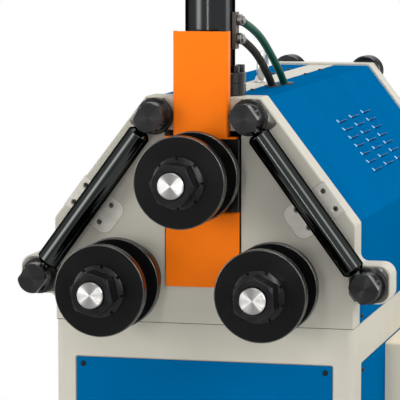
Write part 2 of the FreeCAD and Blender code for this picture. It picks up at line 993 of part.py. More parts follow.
def make_lower_bearings():
    """Front and rear bearings of the two lower shafts."""
    bearings = []
    front_span = (0, front_bearing_width)
    rear_span = (rear_inner_face, rear_inner_face + rear_bearing_width)
    for x, z in lower_roll_places.values():
        bearings.append(make_bearing(front_span, front_bearing_radius, shaft_bearing_radius, x, z))
        bearings.append(make_bearing(rear_span, rear_bearing_radius, shaft_rear_radius, x, z))
    return bearings


def make_bearing_caps():
    """Round caps that close the front bearings, each with its ring of screws."""
    caps = []
    for x, z in lower_roll_places.values():
        cap = turned_y(
            [
                (-bearing_cap_thickness, bearing_cap_radius - plate_edge_chamfer),
                (-bearing_cap_thickness + plate_edge_chamfer, bearing_cap_radius),
                (0, bearing_cap_radius),
            ],
            x,
            z,
        )
        bore_span = (-bearing_cap_thickness - overrun, overrun)
        cap = cap.cut(rod_y(shaft_bearing_radius + face_clearance, bore_span, x, z))
        pitch = (front_bearing_radius + bearing_cap_radius) / 2
        for step in range(bearing_cap_screw_count):
            angle = math.radians(full_turn * step / bearing_cap_screw_count)
            cap = cap.cut(
                rod_y(
                    cap_screw_radius,
                    (-bearing_cap_thickness - overrun, -bearing_cap_thickness / 2),
                    x + pitch * math.cos(angle),
                    z + pitch * math.sin(angle),
                )
            )
        caps.append(cap)
    return caps


# Slide

slide_front_bearing = (nose_thickness / 2, nose_thickness / 2 + slide_bearing_width)
slide_rear_bearing = (
    slide_depth - slide_bearing_width - nose_thickness / 2,
    slide_depth - nose_thickness / 2,
)


def top_shaft_rear():
    """Profile of the top shaft through the slide, with its rear retaining collar."""
    return [
        (slide_depth + nose_thickness / 2, shaft_bearing_radius),
        (slide_depth + nose_thickness / 2, shaft_rear_radius),
        (slide_depth + nose_thickness * 2, shaft_rear_radius),
    ]


def make_slide_block():
    """Slide block with its bearing bore and the grooves that run on the rails."""
    block = box((-slide_half, slide_half), (0, slide_depth), (slide_bottom_height, slide_top_height))
    ends = (-overrun, slide_depth + overrun)
    cutters = [
        rod_y(slide_waist_radius, ends, 0, top_roll_height),
        rod_y(slide_bore_radius, (-overrun, slide_front_bearing[1]), 0, top_roll_height),
        rod_y(slide_bore_radius, (slide_rear_bearing[0], slide_depth + overrun), 0, top_roll_height),
    ]
    groove_y = (slide_groove_place - slide_groove_width / 2, slide_groove_place + slide_groove_width / 2)
    groove_z = (slide_bottom_height - overrun, slide_top_height + overrun)
    for side in (-1, 1):
        groove_x = sorted((side * (slide_half - slide_groove_depth), side * (slide_half + overrun)))
        cutters.append(box(groove_x, groove_y, groove_z))
    return cut_all(block, cutters)


def make_slide_nose():
    """Bearing flange on the slide's front face."""
    nose = prism_y(
        rectangle(
            (-slide_half, slide_half),
            (slide_bottom_height + guard_thickness, slide_top_height),
            nose_corner_radius,
        ),
        (-nose_thickness, 0),
    )
    return nose.cut(rod_y(nose_bore_radius, (-nose_thickness - overrun, overrun), 0, top_roll_height))


def make_top_bearings():
    """Front and rear bearings of the top shaft, held in the slide."""
    outer = slide_bore_radius - turning_clearance
    return [
        make_bearing(span, outer, shaft_bearing_radius, 0, top_roll_height)
        for span in (slide_front_bearing, slide_rear_bearing)
    ]


def make_lower_guard():
    """Sheet that hangs from the slide and covers the slot below it."""
    front = -guard_stand - guard_thickness
    top = slide_bottom_height
    profile = folded_sheet(
        [(guard_lip_depth, top), (front, top), (front, lower_guard_bottom_height)],
        -guard_thickness,
        upper_guard_bend,
    )
    return prism_x(profile, (-lower_guard_half, lower_guard_half))


def make_upper_guard():
    """Channel of sheet on the slide's top edge that covers the slot above it, with its foot."""
    front = -upper_guard_stand
    bottom = slide_top_height
    channel = folded_sheet(
        [
            (-upper_guard_half, -guard_stand),
            (-upper_guard_half, front),
            (upper_guard_half, front),
            (upper_guard_half, -guard_stand),
        ],
        -guard_thickness,
        upper_guard_bend,
    )
    guard = prism_z(channel, (bottom, upper_guard_top_height))
    foot_height = (bottom, bottom + guard_thickness)
    foot = box((-guard_foot_half, guard_foot_half), (front, -guard_stand), foot_height)
    return fuse_all([guard, foot])


def make_piston_rod():
    """Rod and piston; the rod stands on the slide through a round foot."""
    piston_top = barrel_top_height - end_cap_spigot - piston_top_gap
    bottom = slide_top_height
    piston_radius = barrel_bore_radius - piston_clearance
    return turned_z(
        [
            (bottom, rod_foot_radius),
            (bottom + rod_foot_height, rod_foot_radius),
            (bottom + rod_foot_height, rod_radius),
            (piston_top - piston_length, rod_radius),
            (piston_top - piston_length, piston_radius),
            (piston_top, piston_radius),
        ],
        0,
        cylinder_depth,
    )


def make_guide_rails():
    """Two rails behind the front plate, each with a tongue in the slide's groove."""
    inner = slide_half + face_clearance
    rail = box(
        (inner, inner + rail_width),
        (plate_thickness, slide_depth),
        (slot_bottom_height, slot_top_height),
    )
    tongue_half = slide_groove_width / 2 - face_clearance
    tongue = box(
        (inner - rail_tongue_depth, inner),
        (slide_groove_place - tongue_half, slide_groove_place + tongue_half),
        (slot_bottom_height, slot_top_height),
    )
    rail = fuse_all([rail, tongue])
    return [rail, mirrored(rail)]


def cover_hollow(y_span):
    """Space inside the covers, a clearance away from the sheet."""
    inside = cover_inset + cover_thickness + face_clearance
    outline = rounded_wire(plate_outline(False), lambda u, v: Vector(u, y_span[0], v))
    face = Part.Face(outline).makeOffset2D(-inside)
    return face.extrude(Vector(0, y_span[1] - y_span[0], 0))


def make_top_bridge():
    """Block across the top of the rails that carries the cylinder with the front plate."""
    bridge = box(
        (-bridge_half, bridge_half),
        (plate_thickness, plate_thickness + bridge_depth),
        (slot_top_height, strip_top_height - strip_thickness),
    )
    crown = box(
        (-strip_half, strip_half),
        (plate_thickness, plate_thickness + crown_depth),
        (slot_top_height, top_height),
    )
    bridge = bridge.common(cover_hollow((0, body_depth)))
    bridge = fuse_all([bridge, crown])
    rod_span = (slot_top_height - overrun, top_height + overrun)
    cutters = [rod_z(rod_radius + rod_hole_clearance, rod_span, 0, cylinder_depth)]
    for side in (-1, 1):
        cutters.append(
            rod_y(
                tie_rod_radius + face_clearance,
                (0, body_depth),
                side * upper_post_half,
                tie_rod_height,
            )
        )
    return cut_all(bridge, cutters)


# Press cylinder

def make_cylinder_flange():
    """Round gland and mounting flange with two turned grooves."""
    low = top_height
    groove = low + flange_groove_height
    profile = [
        (low, flange_radius),
        (groove, flange_radius),
        (groove, flange_radius - flange_groove_depth),
        (groove + flange_groove_width, flange_radius - flange_groove_depth),
        (groove + flange_groove_width, flange_radius),
        (flange_top_height - plate_edge_chamfer, flange_radius),
        (flange_top_height, flange_radius - plate_edge_chamfer),
    ]
    flange = turned_z(profile, 0, cylinder_depth)
    bore_span = (low - overrun, flange_top_height + overrun)
    return flange.cut(rod_z(rod_radius + turning_clearance, bore_span, 0, cylinder_depth))


def make_cylinder_barrel():
    """Honed tube of the press cylinder."""
    span = (flange_top_height, barrel_top_height)
    tube = rod_z(barrel_radius, span, 0, cylinder_depth)
    return tube.cut(rod_z(barrel_bore_radius, both_ways(span, overrun), 0, cylinder_depth))


def make_cylinder_cap():
    """End cap with its spigot in the tube and a plug on top."""
    low = barrel_top_height
    cap = turned_z(
        [
            (low - end_cap_spigot, barrel_bore_radius - face_clearance),
            (low, barrel_bore_radius - face_clearance),
            (low, end_cap_radius),
            (low + end_cap_height - plate_edge_chamfer, end_cap_radius),
            (low + end_cap_height, end_cap_radius - plate_edge_chamfer),
        ],
        0,
        cylinder_depth,
    )
    corners = [(u, cylinder_depth + v, 0) for u, v in hexagon(end_cap_nut_across_flats, 0)]
    plug = prism_z(corners, (low + end_cap_height, low + end_cap_height + end_cap_nut_height))
    return fuse_all([cap, plug])


def make_flange_bolts():
    """Socket head bolts in a ring on top of the flange."""
    bolts = []
    low = flange_top_height
    for step in range(flange_bolt_count):
        angle = math.radians(full_turn * (step + 1 / 2) / flange_bolt_count)
        x = flange_bolt_radius * math.cos(angle)
        y = cylinder_depth + flange_bolt_radius * math.sin(angle)
        head = rod_z(flange_bolt_head_radius, (low, low + flange_bolt_head_height), x, y)
        socket_low = low + flange_bolt_head_height - flange_bolt_socket_depth
        corners = [(x + u, y + v, 0) for u, v in hexagon(2 * flange_bolt_socket_radius, 0)]
        bolts.append(head.cut(prism_z(corners, (socket_low, low + flange_bolt_head_height + overrun))))
    return bolts


def make_port_block():
    """Narrow port rail on the right of the barrel."""
    half = port_block_width / 2
    outer = barrel_radius + port_block_stand
    block = box(
        (barrel_radius / 2, outer),
        (cylinder_depth - half, cylinder_depth + half),
        (port_block_bottom_height, port_block_top_height),
    )
    tube = rod_z(barrel_radius, (flange_top_height, barrel_top_height), 0, cylinder_depth)
    return block.cut(tube)


def make_hose_fittings():
    """Banjo fittings on the port rail and straight fittings on the valve block, with ferrules."""
    fittings = []
    rail_face = barrel_radius + port_block_stand
    ring_end = rail_face + port_ring_width
    for route in (green_hose_route, black_hose_route):
        start = Vector(*route[0])
        along = (Vector(*route[1]) - start).normalize()
        height = start.z - along.z * (start.y - cylinder_depth) / along.y
        ring = rod_x(port_ring_radius, (rail_face, ring_end), cylinder_depth, height)
        head_span = (ring_end, ring_end + port_bolt_head)
        head = hex_piece_x(port_bolt_across_flats, head_span, cylinder_depth, height)
        ferrule = Part.makeCylinder(ferrule_radius, ferrule_length, start - along * ferrule_length, along)
        block = box((0, rail_face), (0, slide_depth), (port_block_bottom_height, port_block_top_height))
        fittings.append(fuse_all([ring, head, ferrule.cut(block)]))
        end = Vector(*route[-1])
        corners = [(end.x + u, end.y + v, 0) for u, v in hexagon(valve_nut_across_flats, 0)]
        nut = prism_z(corners, (valve_block_top, valve_block_top + valve_nut_height))
        sleeve_span = (valve_block_top + valve_nut_height, hose_end_height)
        fittings.append(fuse_all([nut, rod_z(ferrule_radius, sleeve_span, end.x, end.y)]))
    return fittings


# Hoses and grommets

tank_lid_top = cabinet_floor + cabinet_floor_thickness + tank_rise + tank_height + tank_lid_thickness
valve_block_top = tank_lid_top + valve_height
hose_end_height = valve_block_top + valve_nut_height + ferrule_length
hose_start_x = barrel_radius + port_block_stand + port_ring_width / 2


def hose_route(start_rise, bends, end_x):
    """Points of a hose: its fitting, its bends given over the plate's top, and its lower end."""
    route = [(hose_start_x, hose_start_y, top_height + start_rise)]
    route += [(x, y, top_height + rise) for x, y, rise in bends]
    route.append((end_x, bends[-1][1], hose_end_height))
    return route


green_hose_route = hose_route(green_start_rise, green_hose_bends, green_end_x)
black_hose_route = hose_route(black_start_rise, black_hose_bends, black_end_x)


def make_hose(name, route):
    """Hose along straight runs joined by tangent arcs as large as the runs allow."""
    points = [Vector(*point) for point in route]
    edges = []
    radii = []
    start = points[0]
    for before, here, after in zip(points, points[1:], points[2:]):
        to_before = before - here
        to_after = after - here
        shorter = min(to_before.Length, to_after.Length)
        to_before.normalize()
        to_after.normalize()
        half_angle = to_before.getAngle(to_after) / 2
        reach = hose_bend_share * shorter
        radius = reach * math.tan(half_angle)
        radii.append(round(radius))
        inward = (to_before + to_after).normalize()
        middle = here + inward * (radius / math.sin(half_angle) - radius)
        arc_start = here + to_before * reach
        arc_end = here + to_after * reach
        edges.append(Part.LineSegment(start, arc_start).toShape())
        edges.append(Part.Arc(arc_start, middle, arc_end).toShape())
        start = arc_end
    edges.append(Part.LineSegment(start, points[-1]).toShape())
    path = Part.Wire(edges)
    along = (points[1] - points[0]).normalize()
    profile = Part.Wire([Part.makeCircle(hose_radius, points[0], along)])
    hose = path.makePipeShell([profile], True, False)
    share = hose.Volume / (math.pi * hose_radius ** 2 * path.Length)
    print(name, "length", round(path.Length), "bend radii", radii, "volume share", round(share, 3))
    return hose


def grommet_shape(x, y, grow, z_span):
    """Oval with round ends, long along Y."""
    half_length = grommet_half_length + grow
    half_width = grommet_half_width + grow
    x_span = (x - half_width, x + half_width)
    corners = rectangle(x_span, (y - half_length, y + half_length), half_width)
    return prism_z(corners, z_span)


def grommet_places():
    """Centres of both grommets."""
    return ((green_grommet_x, green_grommet_y), (black_grommet_x, black_grommet_y))


def make_grommets(hoses):
    """Rubber ovals in the right cover that the hoses pass through."""
    grommets = []
    for (x, y), hose in zip(grommet_places(), hoses):
        head = grommet_shape(x, y, 0, (cover_top_height, cover_top_height + grommet_thickness))
        neck = grommet_shape(x, y, -grommet_groove, (strip_top_height, cover_top_height))
        foot = grommet_shape(x, y, 0, (strip_top_height - grommet_thickness, strip_top_height))
        grommets.append(fuse_all([head, neck, foot]).cut(hose))
    return grommets


# Sheet covers

def cover_path():
    """Outer face of the right cover, from its inner edge over the folds down to the cabinet."""
    plate_path = [
        (cover_inner_edge, top_height),
        (top_half, top_height),
        (shoulder_half, shoulder_height),
        (shoulder_half, 0),
    ]
    return offset_path(plate_path, cover_inset)


def louver_places():
    """Centres of the louvers as (y, distance down the slope)."""
    places = []
    for column in range(louver_columns):
        for row in range(louver_rows):
            y = louver_first_column + column * louver_column_pitch + louver_length / 2
            places.append((y, louver_first_row + row * louver_row_pitch))
    return places


def make_cover(with_grommets):
    """Right cover: top, slope and side of one bent sheet, with a field of louvers on the slope."""
    path = cover_path()
    profile = folded_sheet(path, cover_thickness, cover_bend_radius)
    sheet = prism_y(profile, (plate_thickness, rear_inner_face))
    fold = Vector(path[1][0], 0, path[1][1])
    down = Vector(path[2][0] - path[1][0], 0, path[2][1] - path[1][1]).normalize()
    outward = Vector(-down.z, 0, down.x)
    hoods = []
    slits = []
    for y, distance in louver_places():
        center = fold + down * distance + Vector(0, y, 0)
        ends = Vector(0, louver_length / 2, 0)
        back = down * (louver_width / 2)
        rise = outward * louver_rise
        sink = outward * (-cover_thickness)
        hood = Part.makePolygon([center - back, center + back, center + back + rise, center - back])
        hoods.append(Part.Face(hood).extrude(ends * 2).translated(-ends))
        slit_low = center + back - down * louver_slit
        slit = Part.makePolygon(
            [
                slit_low + sink * 2,
                center + back + sink * 2,
                center + back + rise / 2,
                slit_low + rise / 2,
                slit_low + sink * 2,
            ]
        )
        shorter = ends * (1 - louver_slit / louver_width)
        slits.append(Part.Face(slit).extrude(shorter * 2).translated(-shorter))
    sheet = fuse_all([sheet] + hoods)
    slots = []
    for slit in slits:
        slots.append(slit.translated(down * (louver_slit / 2)))
    sheet = cut_all(sheet, slots)
    crown_x = (0, strip_half + face_clearance)
    crown_y = (0, plate_thickness + crown_depth + face_clearance)
    span = (strip_top_height - overrun, top_height)
    holes = [box(crown_x, crown_y, span)]
    for x, y in cover_screw_positions():
        if x > 0:
            holes.append(rod_z(screw_shank_radius + screw_hole_clearance, span, x, y))
    foot_screw = (plate_thickness + cover_foot_screw_back, cover_foot_screw_height)
    side_span = (shoulder_half - cover_inset - cover_thickness - overrun, shoulder_half)
    holes.append(rod_x(screw_shank_radius + screw_hole_clearance, side_span, *foot_screw))
    if with_grommets:
        for x, y in grommet_places():
            holes.append(grommet_shape(x, y, -grommet_groove, span))
    return cut_all(sheet, holes)


def cover_screw_positions():
    """Places of the screws along both inner edges of the covers."""
    along = [plate_thickness + cover_screw_front]
    along += [rear_inner_face - distance for distance in cover_screw_rears]
    return [(side * cover_screw_x, y) for y in along for side in (1, -1)]


def make_top_strip():
    """Flat bar between the plates that carries the covers' inner edges and the lifting eye."""
    run = (plate_thickness + crown_depth, rear_inner_face)
    strip = box(
        (-strip_half, strip_half),
        run,
        (strip_top_height - strip_thickness, strip_top_height),
    )
    hole_span = (strip_top_height - strip_thickness - overrun, top_height)
    hole_radius = screw_shank_radius + screw_hole_clearance
    cutters = [rod_z(hole_radius, hole_span, x, y) for x, y in cover_screw_positions()]
    cutters += [grommet_shape(x, y, face_clearance, hole_span) for x, y in grommet_places()]
    strip = cut_all(strip, cutters)
    ridge = box((-cover_inner_edge, cover_inner_edge), run, (strip_top_height, cover_top_height))
    return fuse_all([strip, ridge])


def make_lifting_eye():
    """Eye bolt on the top strip."""
    low = cover_top_height
    ring_height = low + eye_height - eye_ring_radius - eye_wire_radius
    center = Vector(0, eye_place, ring_height)
    ring = Part.makeTorus(eye_ring_radius, eye_wire_radius, center, Vector(1, 0, 0))
    ring = ring.cut(box((-eye_wire_radius, eye_wire_radius), (0, body_depth), (0, low)))
    collar = turned_z(
        [
            (low, eye_collar_radius),
            (low + eye_collar_height / 3, eye_collar_radius),
            (low + eye_collar_height, eye_neck_radius),
        ],
        0,
        eye_place,
    )
    return fuse_all([collar, ring])


def screw(base, axis):
    """Button head screw whose head stands on base and whose shank goes against the axis."""
    head = Part.makeCone(screw_head_radius, screw_head_radius / 2, screw_head_height, base, axis)
    corners = [Vector(u, v, 0) for u, v in hexagon(screw_socket_across_flats, 0)]
    socket = Part.Face(Part.makePolygon(corners + corners[:1])).extrude(Vector(0, 0, screw_head_height))
    socket.Placement = FreeCAD.Placement(
        base + axis * (screw_head_height - screw_socket_depth),
        FreeCAD.Rotation(Vector(0, 0, 1), axis),
    )
    head = head.cut(socket)
    shank = Part.makeCylinder(screw_shank_radius, screw_shank_length, base, axis * -1)
    return fuse_all([head, shank])


def make_cover_screws():
    """Screws of the covers and of the cabinet panels."""
    screws = [screw(Vector(x, y, cover_top_height), Vector(0, 0, 1)) for x, y in cover_screw_positions()]
    for side in (-1, 1):
        face = side * (shoulder_half - cover_inset)
        base = Vector(face, plate_thickness + cover_foot_screw_back, cover_foot_screw_height)
        screws.append(screw(base, Vector(side, 0, 0)))
    for x, z in front_panel_screws():
        screws.append(screw(Vector(x, 0, z), Vector(0, -1, 0)))
        screws.append(screw(Vector(x, body_depth, z), Vector(0, 1, 0)))
    for y, z in side_panel_screws():
        screws.append(screw(Vector(cabinet_half, y, z), Vector(1, 0, 0)))
        screws.append(screw(Vector(-cabinet_half, y, z), Vector(-1, 0, 0)))
    return screws


# Base cabinet

def front_panel_screws():
    """Places (x, z) of the screws of the front and rear panels."""
    x = front_panel_half - panel_screw_inset
    return [
        (side * x, z)
        for side in (-1, 1)
        for z in (panel_top - panel_screw_inset, panel_bottom + panel_screw_inset)
    ]


def side_panel_screws():
    """Places (y, z) of the screws of the side panels."""
    return [
        (y, z)
        for y in (side_panel_front + panel_screw_inset, body_depth - side_panel_front - panel_screw_inset)
        for z in (side_panel_top - panel_screw_inset, panel_bottom + panel_screw_inset)
    ]


def side_window(grow):
    """Corners (y, z) of a side panel, grown on all sides."""
    return rectangle(
        (side_panel_front - grow, body_depth - side_panel_front + grow),
        (panel_bottom - grow, side_panel_top + grow),
        panel_corner_radius + max(grow, -panel_corner_radius / 2),
    )


def front_window(grow):
    """Corners (x, z) of the front or rear panel, grown on all sides."""
    return rectangle(
        (-front_panel_half - grow, front_panel_half + grow),
        (panel_bottom - grow, panel_top + grow),
        panel_corner_radius + max(grow, -panel_corner_radius / 2),
    )


def make_base_cabinet():
    """Folded cabinet: walls with rebated windows, a thick top and a floor that stands on the ground."""
    footprint = rectangle((-cabinet_half, cabinet_half), (0, body_depth), cabinet_corner_radius)
    inside = rectangle(
        (-cabinet_half + cabinet_wall, cabinet_half - cabinet_wall),
        (cabinet_wall, body_depth - cabinet_wall),
        cabinet_corner_radius - cabinet_wall,
    )
    shell = prism_z(footprint, (cabinet_floor, 0))
    shell = shell.cut(prism_z(inside, (cabinet_floor + cabinet_floor_thickness, -cabinet_top_thickness)))
    windows = []
    rims = []
    lip = (cabinet_wall, 2 * cabinet_wall)
    deep_lip = (body_depth - lip[1], body_depth - lip[0])
    for span in (lip, deep_lip):
        rims.append(prism_y(front_window(panel_lip), span))
        windows.append(prism_y(front_window(-panel_lip), both_ways(span, cabinet_wall + overrun)))
    windows.append(prism_y(front_window(panel_gap), (-overrun, cabinet_wall)))
    windows.append(prism_y(front_window(panel_gap), (body_depth - cabinet_wall, body_depth + overrun)))
    for side in (-1, 1):
        rim_span = sorted((side * (cabinet_half - lip[1]), side * (cabinet_half - lip[0])))
        wall_span = sorted((side * (cabinet_half - lip[1] - overrun), side * (cabinet_half + overrun)))
        skin_span = sorted((side * (cabinet_half - cabinet_wall), side * (cabinet_half + overrun)))
        rims.append(prism_x(side_window(panel_lip), rim_span))
        windows.append(prism_x(side_window(-panel_lip), wall_span))
        windows.append(prism_x(side_window(panel_gap), skin_span))
    shell = cut_all(fuse_all([shell] + rims), windows)
    holes = []
    hole_radius = screw_shank_radius + screw_hole_clearance
    for x, z in front_panel_screws():
        holes.append(rod_y(hole_radius, (0, lip[1] + overrun), x, z))
        holes.append(rod_y(hole_radius, (deep_lip[0] - overrun, body_depth), x, z))
    for y, z in side_panel_screws():
        holes.append(rod_x(hole_radius, (cabinet_half - lip[1] - overrun, cabinet_half), y, z))
        holes.append(rod_x(hole_radius, (-cabinet_half, -cabinet_half + lip[1] + overrun), y, z))
    floor_span = (cabinet_floor - overrun, cabinet_floor + cabinet_floor_thickness + overrun)
    for x in (-cabinet_half + anchor_inset, cabinet_half - anchor_inset):
        for y in (anchor_inset, body_depth - anchor_inset):
            holes.append(rod_z(anchor_hole_radius, floor_span, x, y))
    top_span = (-cabinet_top_thickness - overrun, overrun)
    holes.append(rod_z(motor_opening_radius, top_span, 0, reducer_center_y))
    gear_y = (
        gear_front - gear_hub_length - gear_opening_margin,
        gear_front + gear_width + gear_opening_margin,
    )
    for side in (-1, 1):
        middle = side * lower_roll_half_pitch
        gear_x = (middle - gear_opening_half, middle + gear_opening_half)
        holes.append(prism_z(rectangle(gear_x, gear_y, panel_corner_radius), top_span))
    hose_y = (valve_center_y - valve_half_y, valve_center_y + valve_half_y)
    hose_x = (hose_opening_inner, hose_opening_outer)
    holes.append(prism_z(rectangle(hose_x, hose_y, panel_corner_radius), top_span))
    return cut_all(shell, holes)


def make_end_panel(y_span):
    """Flat panel in the cabinet's front or rear window."""
    panel = prism_y(front_window(0), y_span)
    radius = screw_shank_radius + screw_hole_clearance
    through = both_ways(y_span, overrun)
    return cut_all(panel, [rod_y(radius, through, x, z) for x, z in front_panel_screws()])


def make_side_panels():
    """Flat panels in both side windows of the cabinet."""
    span = (cabinet_half - cabinet_wall, cabinet_half)
    panel = prism_x(side_window(0), span)
    radius = screw_shank_radius + screw_hole_clearance
    through = both_ways(span, overrun)
    panel = cut_all(panel, [rod_x(radius, through, y, z) for y, z in side_panel_screws()])
    return [panel, mirrored(panel)]


# Electric box

box_face = cabinet_half + box_width
box_top = -box_top_drop
box_bottom = box_top - box_height
box_back = box_front + box_length
hinge_x = box_face + door_gap
hinge_y = box_back + hinge_stand
door_front = box_face + door_gap + door_depth
latch_y = box_front + latch_inset
latch_z = (box_top + box_bottom) / 2


def hinge_heights():
    """Middle heights of the two hinges."""
    return (box_bottom + hinge_inset, box_top - hinge_inset)


def box_outline(inset, corner_radius):
    """Corners (y, z) of the electric box, drawn in by an inset."""
    return rectangle(
        (box_front + inset, box_back - inset),
        (box_bottom + inset, box_top - inset),
        corner_radius,
    )


def make_electric_box():
    """Sheet box bolted to the side panel, open to the right behind an inner rim."""
    outer = prism_x(box_outline(0, box_corner_radius), (cabinet_half, box_face))
    cavity = prism_x(
        box_outline(box_wall, box_corner_radius - box_wall),
        (cabinet_half + box_wall, box_face - box_wall),
    )
    mouth_span = (box_face - box_wall - overrun, box_face + overrun)
    mouth = prism_x(box_outline(box_rim, box_corner_radius), mouth_span)
    return cut_all(outer, [cavity, mouth])


def make_electric_door():
    """Shallow tray door with the moving halves of its hinges."""
    inner_face = box_face + door_gap
    tray = prism_x(box_outline(0, box_corner_radius), (inner_face, door_front))
    hollow = prism_x(
        box_outline(door_wall, box_corner_radius - door_wall),
        (inner_face - overrun, door_front - door_wall),
    )
    spindle_span = (inner_face - overrun, door_front + overrun)
    spindle_hole = rod_x(latch_spindle_radius + turning_clearance, spindle_span, latch_y, latch_z)
    door = cut_all(tray, [hollow, spindle_hole])
    knuckles = []
    bores = []
    for middle in hinge_heights():
        span = (middle + face_clearance, middle + hinge_knuckle_height)
        knuckles.append(rod_z(hinge_knuckle_radius, span, hinge_x, hinge_y))
        arm_y = (box_back - door_wall, hinge_y)
        knuckles.append(box((hinge_x, hinge_x + hinge_knuckle_radius), arm_y, span))
        bore_radius = hinge_pin_radius + turning_clearance
        bores.append(rod_z(bore_radius, both_ways(span, overrun), hinge_x, hinge_y))
    return cut_all(fuse_all([door] + knuckles), bores)


def make_door_hinges():
    """Fixed halves of the hinges with their pins."""
    hinges = []
    for middle in hinge_heights():
        span = (middle - hinge_knuckle_height, middle)
        knuckle = rod_z(hinge_knuckle_radius, span, hinge_x, hinge_y)
        arm_x = (box_face - hinge_leaf_reach, hinge_x)
        arm = box(arm_x, (box_back, box_back + hinge_leaf_thickness), span)
        arm = arm.fuse(box((hinge_x - hinge_knuckle_radius, hinge_x), (box_back, hinge_y), span))
        pin = rod_z(hinge_pin_radius, (middle - overrun, middle + hinge_knuckle_height), hinge_x, hinge_y)
        hinges.append(fuse_all([knuckle, arm, pin]))
    return hinges


def make_door_latch():
    """Quarter-turn latch: slotted knob, spindle and the cam behind the rim."""
    foot = door_front + face_clearance
    top = foot + latch_knob_height
    knob = rod_x(latch_knob_radius, (foot, top), latch_y, latch_z)
    slot = box(
        (top - latch_slot_depth, top + overrun),
        (latch_y - latch_slot_width / 2, latch_y + latch_slot_width / 2),
        (latch_z - latch_knob_radius, latch_z + latch_knob_radius),
    )
    cam_face = box_face - box_wall - latch_cam_gap
    spindle = rod_x(latch_spindle_radius, (cam_face, foot), latch_y, latch_z)
    cam = box(
        (cam_face - latch_cam_thickness, cam_face),
        (latch_y - latch_cam_width / 2, latch_y + latch_cam_width / 2),
        (latch_z - latch_cam_width / 2, latch_z + latch_cam_length),
    )
    return fuse_all([knob.cut(slot), spindle, cam])


# Roll drive

reducer_front = gear_front + gear_width + reducer_gap
reducer_center_y = (reducer_front + rear_inner_face) / 2
pinion_shaft_end = (reducer_center_y + rear_inner_face) / 2


def involute_flank(teeth, side):
    """Points (radius, angle) of one tooth flank from root to tip, about the tooth's middle."""
    pitch_radius = gear_module * teeth / 2
    base_radius = pitch_radius * math.cos(math.radians(pressure_angle))
    tip_radius = pitch_radius + gear_module * tooth_addendum_share
    root_radius = pitch_radius - gear_module * tooth_dedendum_share
    pitch_spread = math.sqrt((pitch_radius / base_radius) ** 2 - 1)
    pitch_involute = pitch_spread - math.atan(pitch_spread)
    tooth_half = (math.pi * gear_module / 2 - tooth_backlash) / (2 * pitch_radius)
    points = [(root_radius, side * (tooth_half + pitch_involute))]
    low = max(base_radius, root_radius)
    for step in range(flank_steps + 1):
        radius = low + (tip_radius - low) * step / flank_steps
        spread = math.sqrt(max((radius / base_radius) ** 2 - 1, 0))
        involute = spread - math.atan(spread)
        if radius > root_radius:
            points.append((radius, side * (tooth_half + pitch_involute - involute)))
    return points


def gear_face(teeth, x, z, y, phase):
    """Toothed outline in the plane at y; phase is the angle of one tooth's middle."""
    corners = []
    for tooth in range(teeth):
        middle = phase + 2 * math.pi * tooth / teeth
        rising = involute_flank(teeth, -1)
        falling = list(reversed(involute_flank(teeth, 1)))
        for radius, angle in rising + falling:
            u = radius * math.cos(middle + angle)
            v = radius * math.sin(middle + angle)
            corners.append(Vector(x + u, y, z + v))
    return Part.Face(Part.makePolygon(corners + [corners[0]]))


def mesh_phase(x, z):
    """Tooth angle that puts a gear at (x, z) in mesh with the pinion, whose tooth points up."""
    direction = math.atan2(z - pinion_height, x)
    pinion_pitch = 2 * math.pi / pinion_teeth
    lead = (math.pi / 2 - direction) % pinion_pitch
    shift = pinion_radius * lead + math.pi * gear_module / 2
    return direction + math.pi - shift / gear_radius


def make_drive_gear(x, z):
    """Spur gear on a lower shaft, with a hub and a recessed web."""
    blank = gear_face(gear_teeth, x, z, gear_front, mesh_phase(x, z)).extrude(Vector(0, gear_width, 0))
    web = rod_y(gear_web_radius, (gear_front - overrun, gear_front + gear_web_recess), x, z)
    hub = rod_y(gear_hub_radius, (gear_front - gear_hub_length, gear_front + gear_web_recess), x, z)
    gear = fuse_all([blank.cut(web), hub])
    bore = rod_y(
        shaft_bearing_radius + turning_clearance,
        (gear_front - gear_hub_length - overrun, gear_front + gear_width + overrun),
        x,
        z,
    )
    return gear.cut(bore)


def make_drive_pinion():
    """Pinion cut on the reducer's output shaft."""
    outline = gear_face(pinion_teeth, 0, pinion_height, gear_front, math.pi / 2)
    teeth = outline.extrude(Vector(0, gear_width, 0))
    shaft = rod_y(pinion_shaft_radius, (gear_front - overrun, pinion_shaft_end), 0, pinion_height)
    return fuse_all([teeth, shaft])


def make_gear_reducer():
    """Worm reducer bolted to the rear plate, with the output bore and a motor flange below."""
    corners = rectangle(
        (-reducer_half, reducer_half),
        (pinion_height - reducer_height, pinion_height + reducer_height),
        reducer_corner_radius,
    )
    housing = prism_y(corners, (reducer_front, rear_inner_face))
    boss = rod_y(reducer_half / 2, (reducer_front - reducer_gap / 2, reducer_front), 0, pinion_height)
    housing = fuse_all([housing, boss])
    bore_span = (reducer_front - reducer_gap, pinion_shaft_end + face_clearance)
    return housing.cut(rod_y(pinion_shaft_radius + turning_clearance, bore_span, 0, pinion_height))


def ribbed_motor(x, y, z_span, radius, collar_at_top):
    """Flange motor standing along Z: finned casing, flange collar and fan cowl."""
    low, high = z_span
    if collar_at_top:
        collar = (high - drive_motor_collar, high)
        cowl = (low, low + motor_cowl_length)
        casing = (cowl[1], collar[0])
    else:
        collar = (low, low + drive_motor_collar)
        cowl = (high - motor_cowl_length, high)
        casing = (collar[1], cowl[0])
    core = rod_z(radius - motor_fin_height, casing, x, y)
    pieces = [core, rod_z(radius + motor_fin_height, collar, x, y), rod_z(radius, cowl, x, y)]
    for step in range(motor_fin_count):
        fin = box((0, radius), (-motor_fin_width / 2, motor_fin_width / 2), casing)
        fin.rotate(Vector(0, 0, 0), Vector(0, 0, 1), full_turn * step / motor_fin_count)
        fin.translate(Vector(x, y, 0))
        pieces.append(fin)
    return fuse_all(pieces)


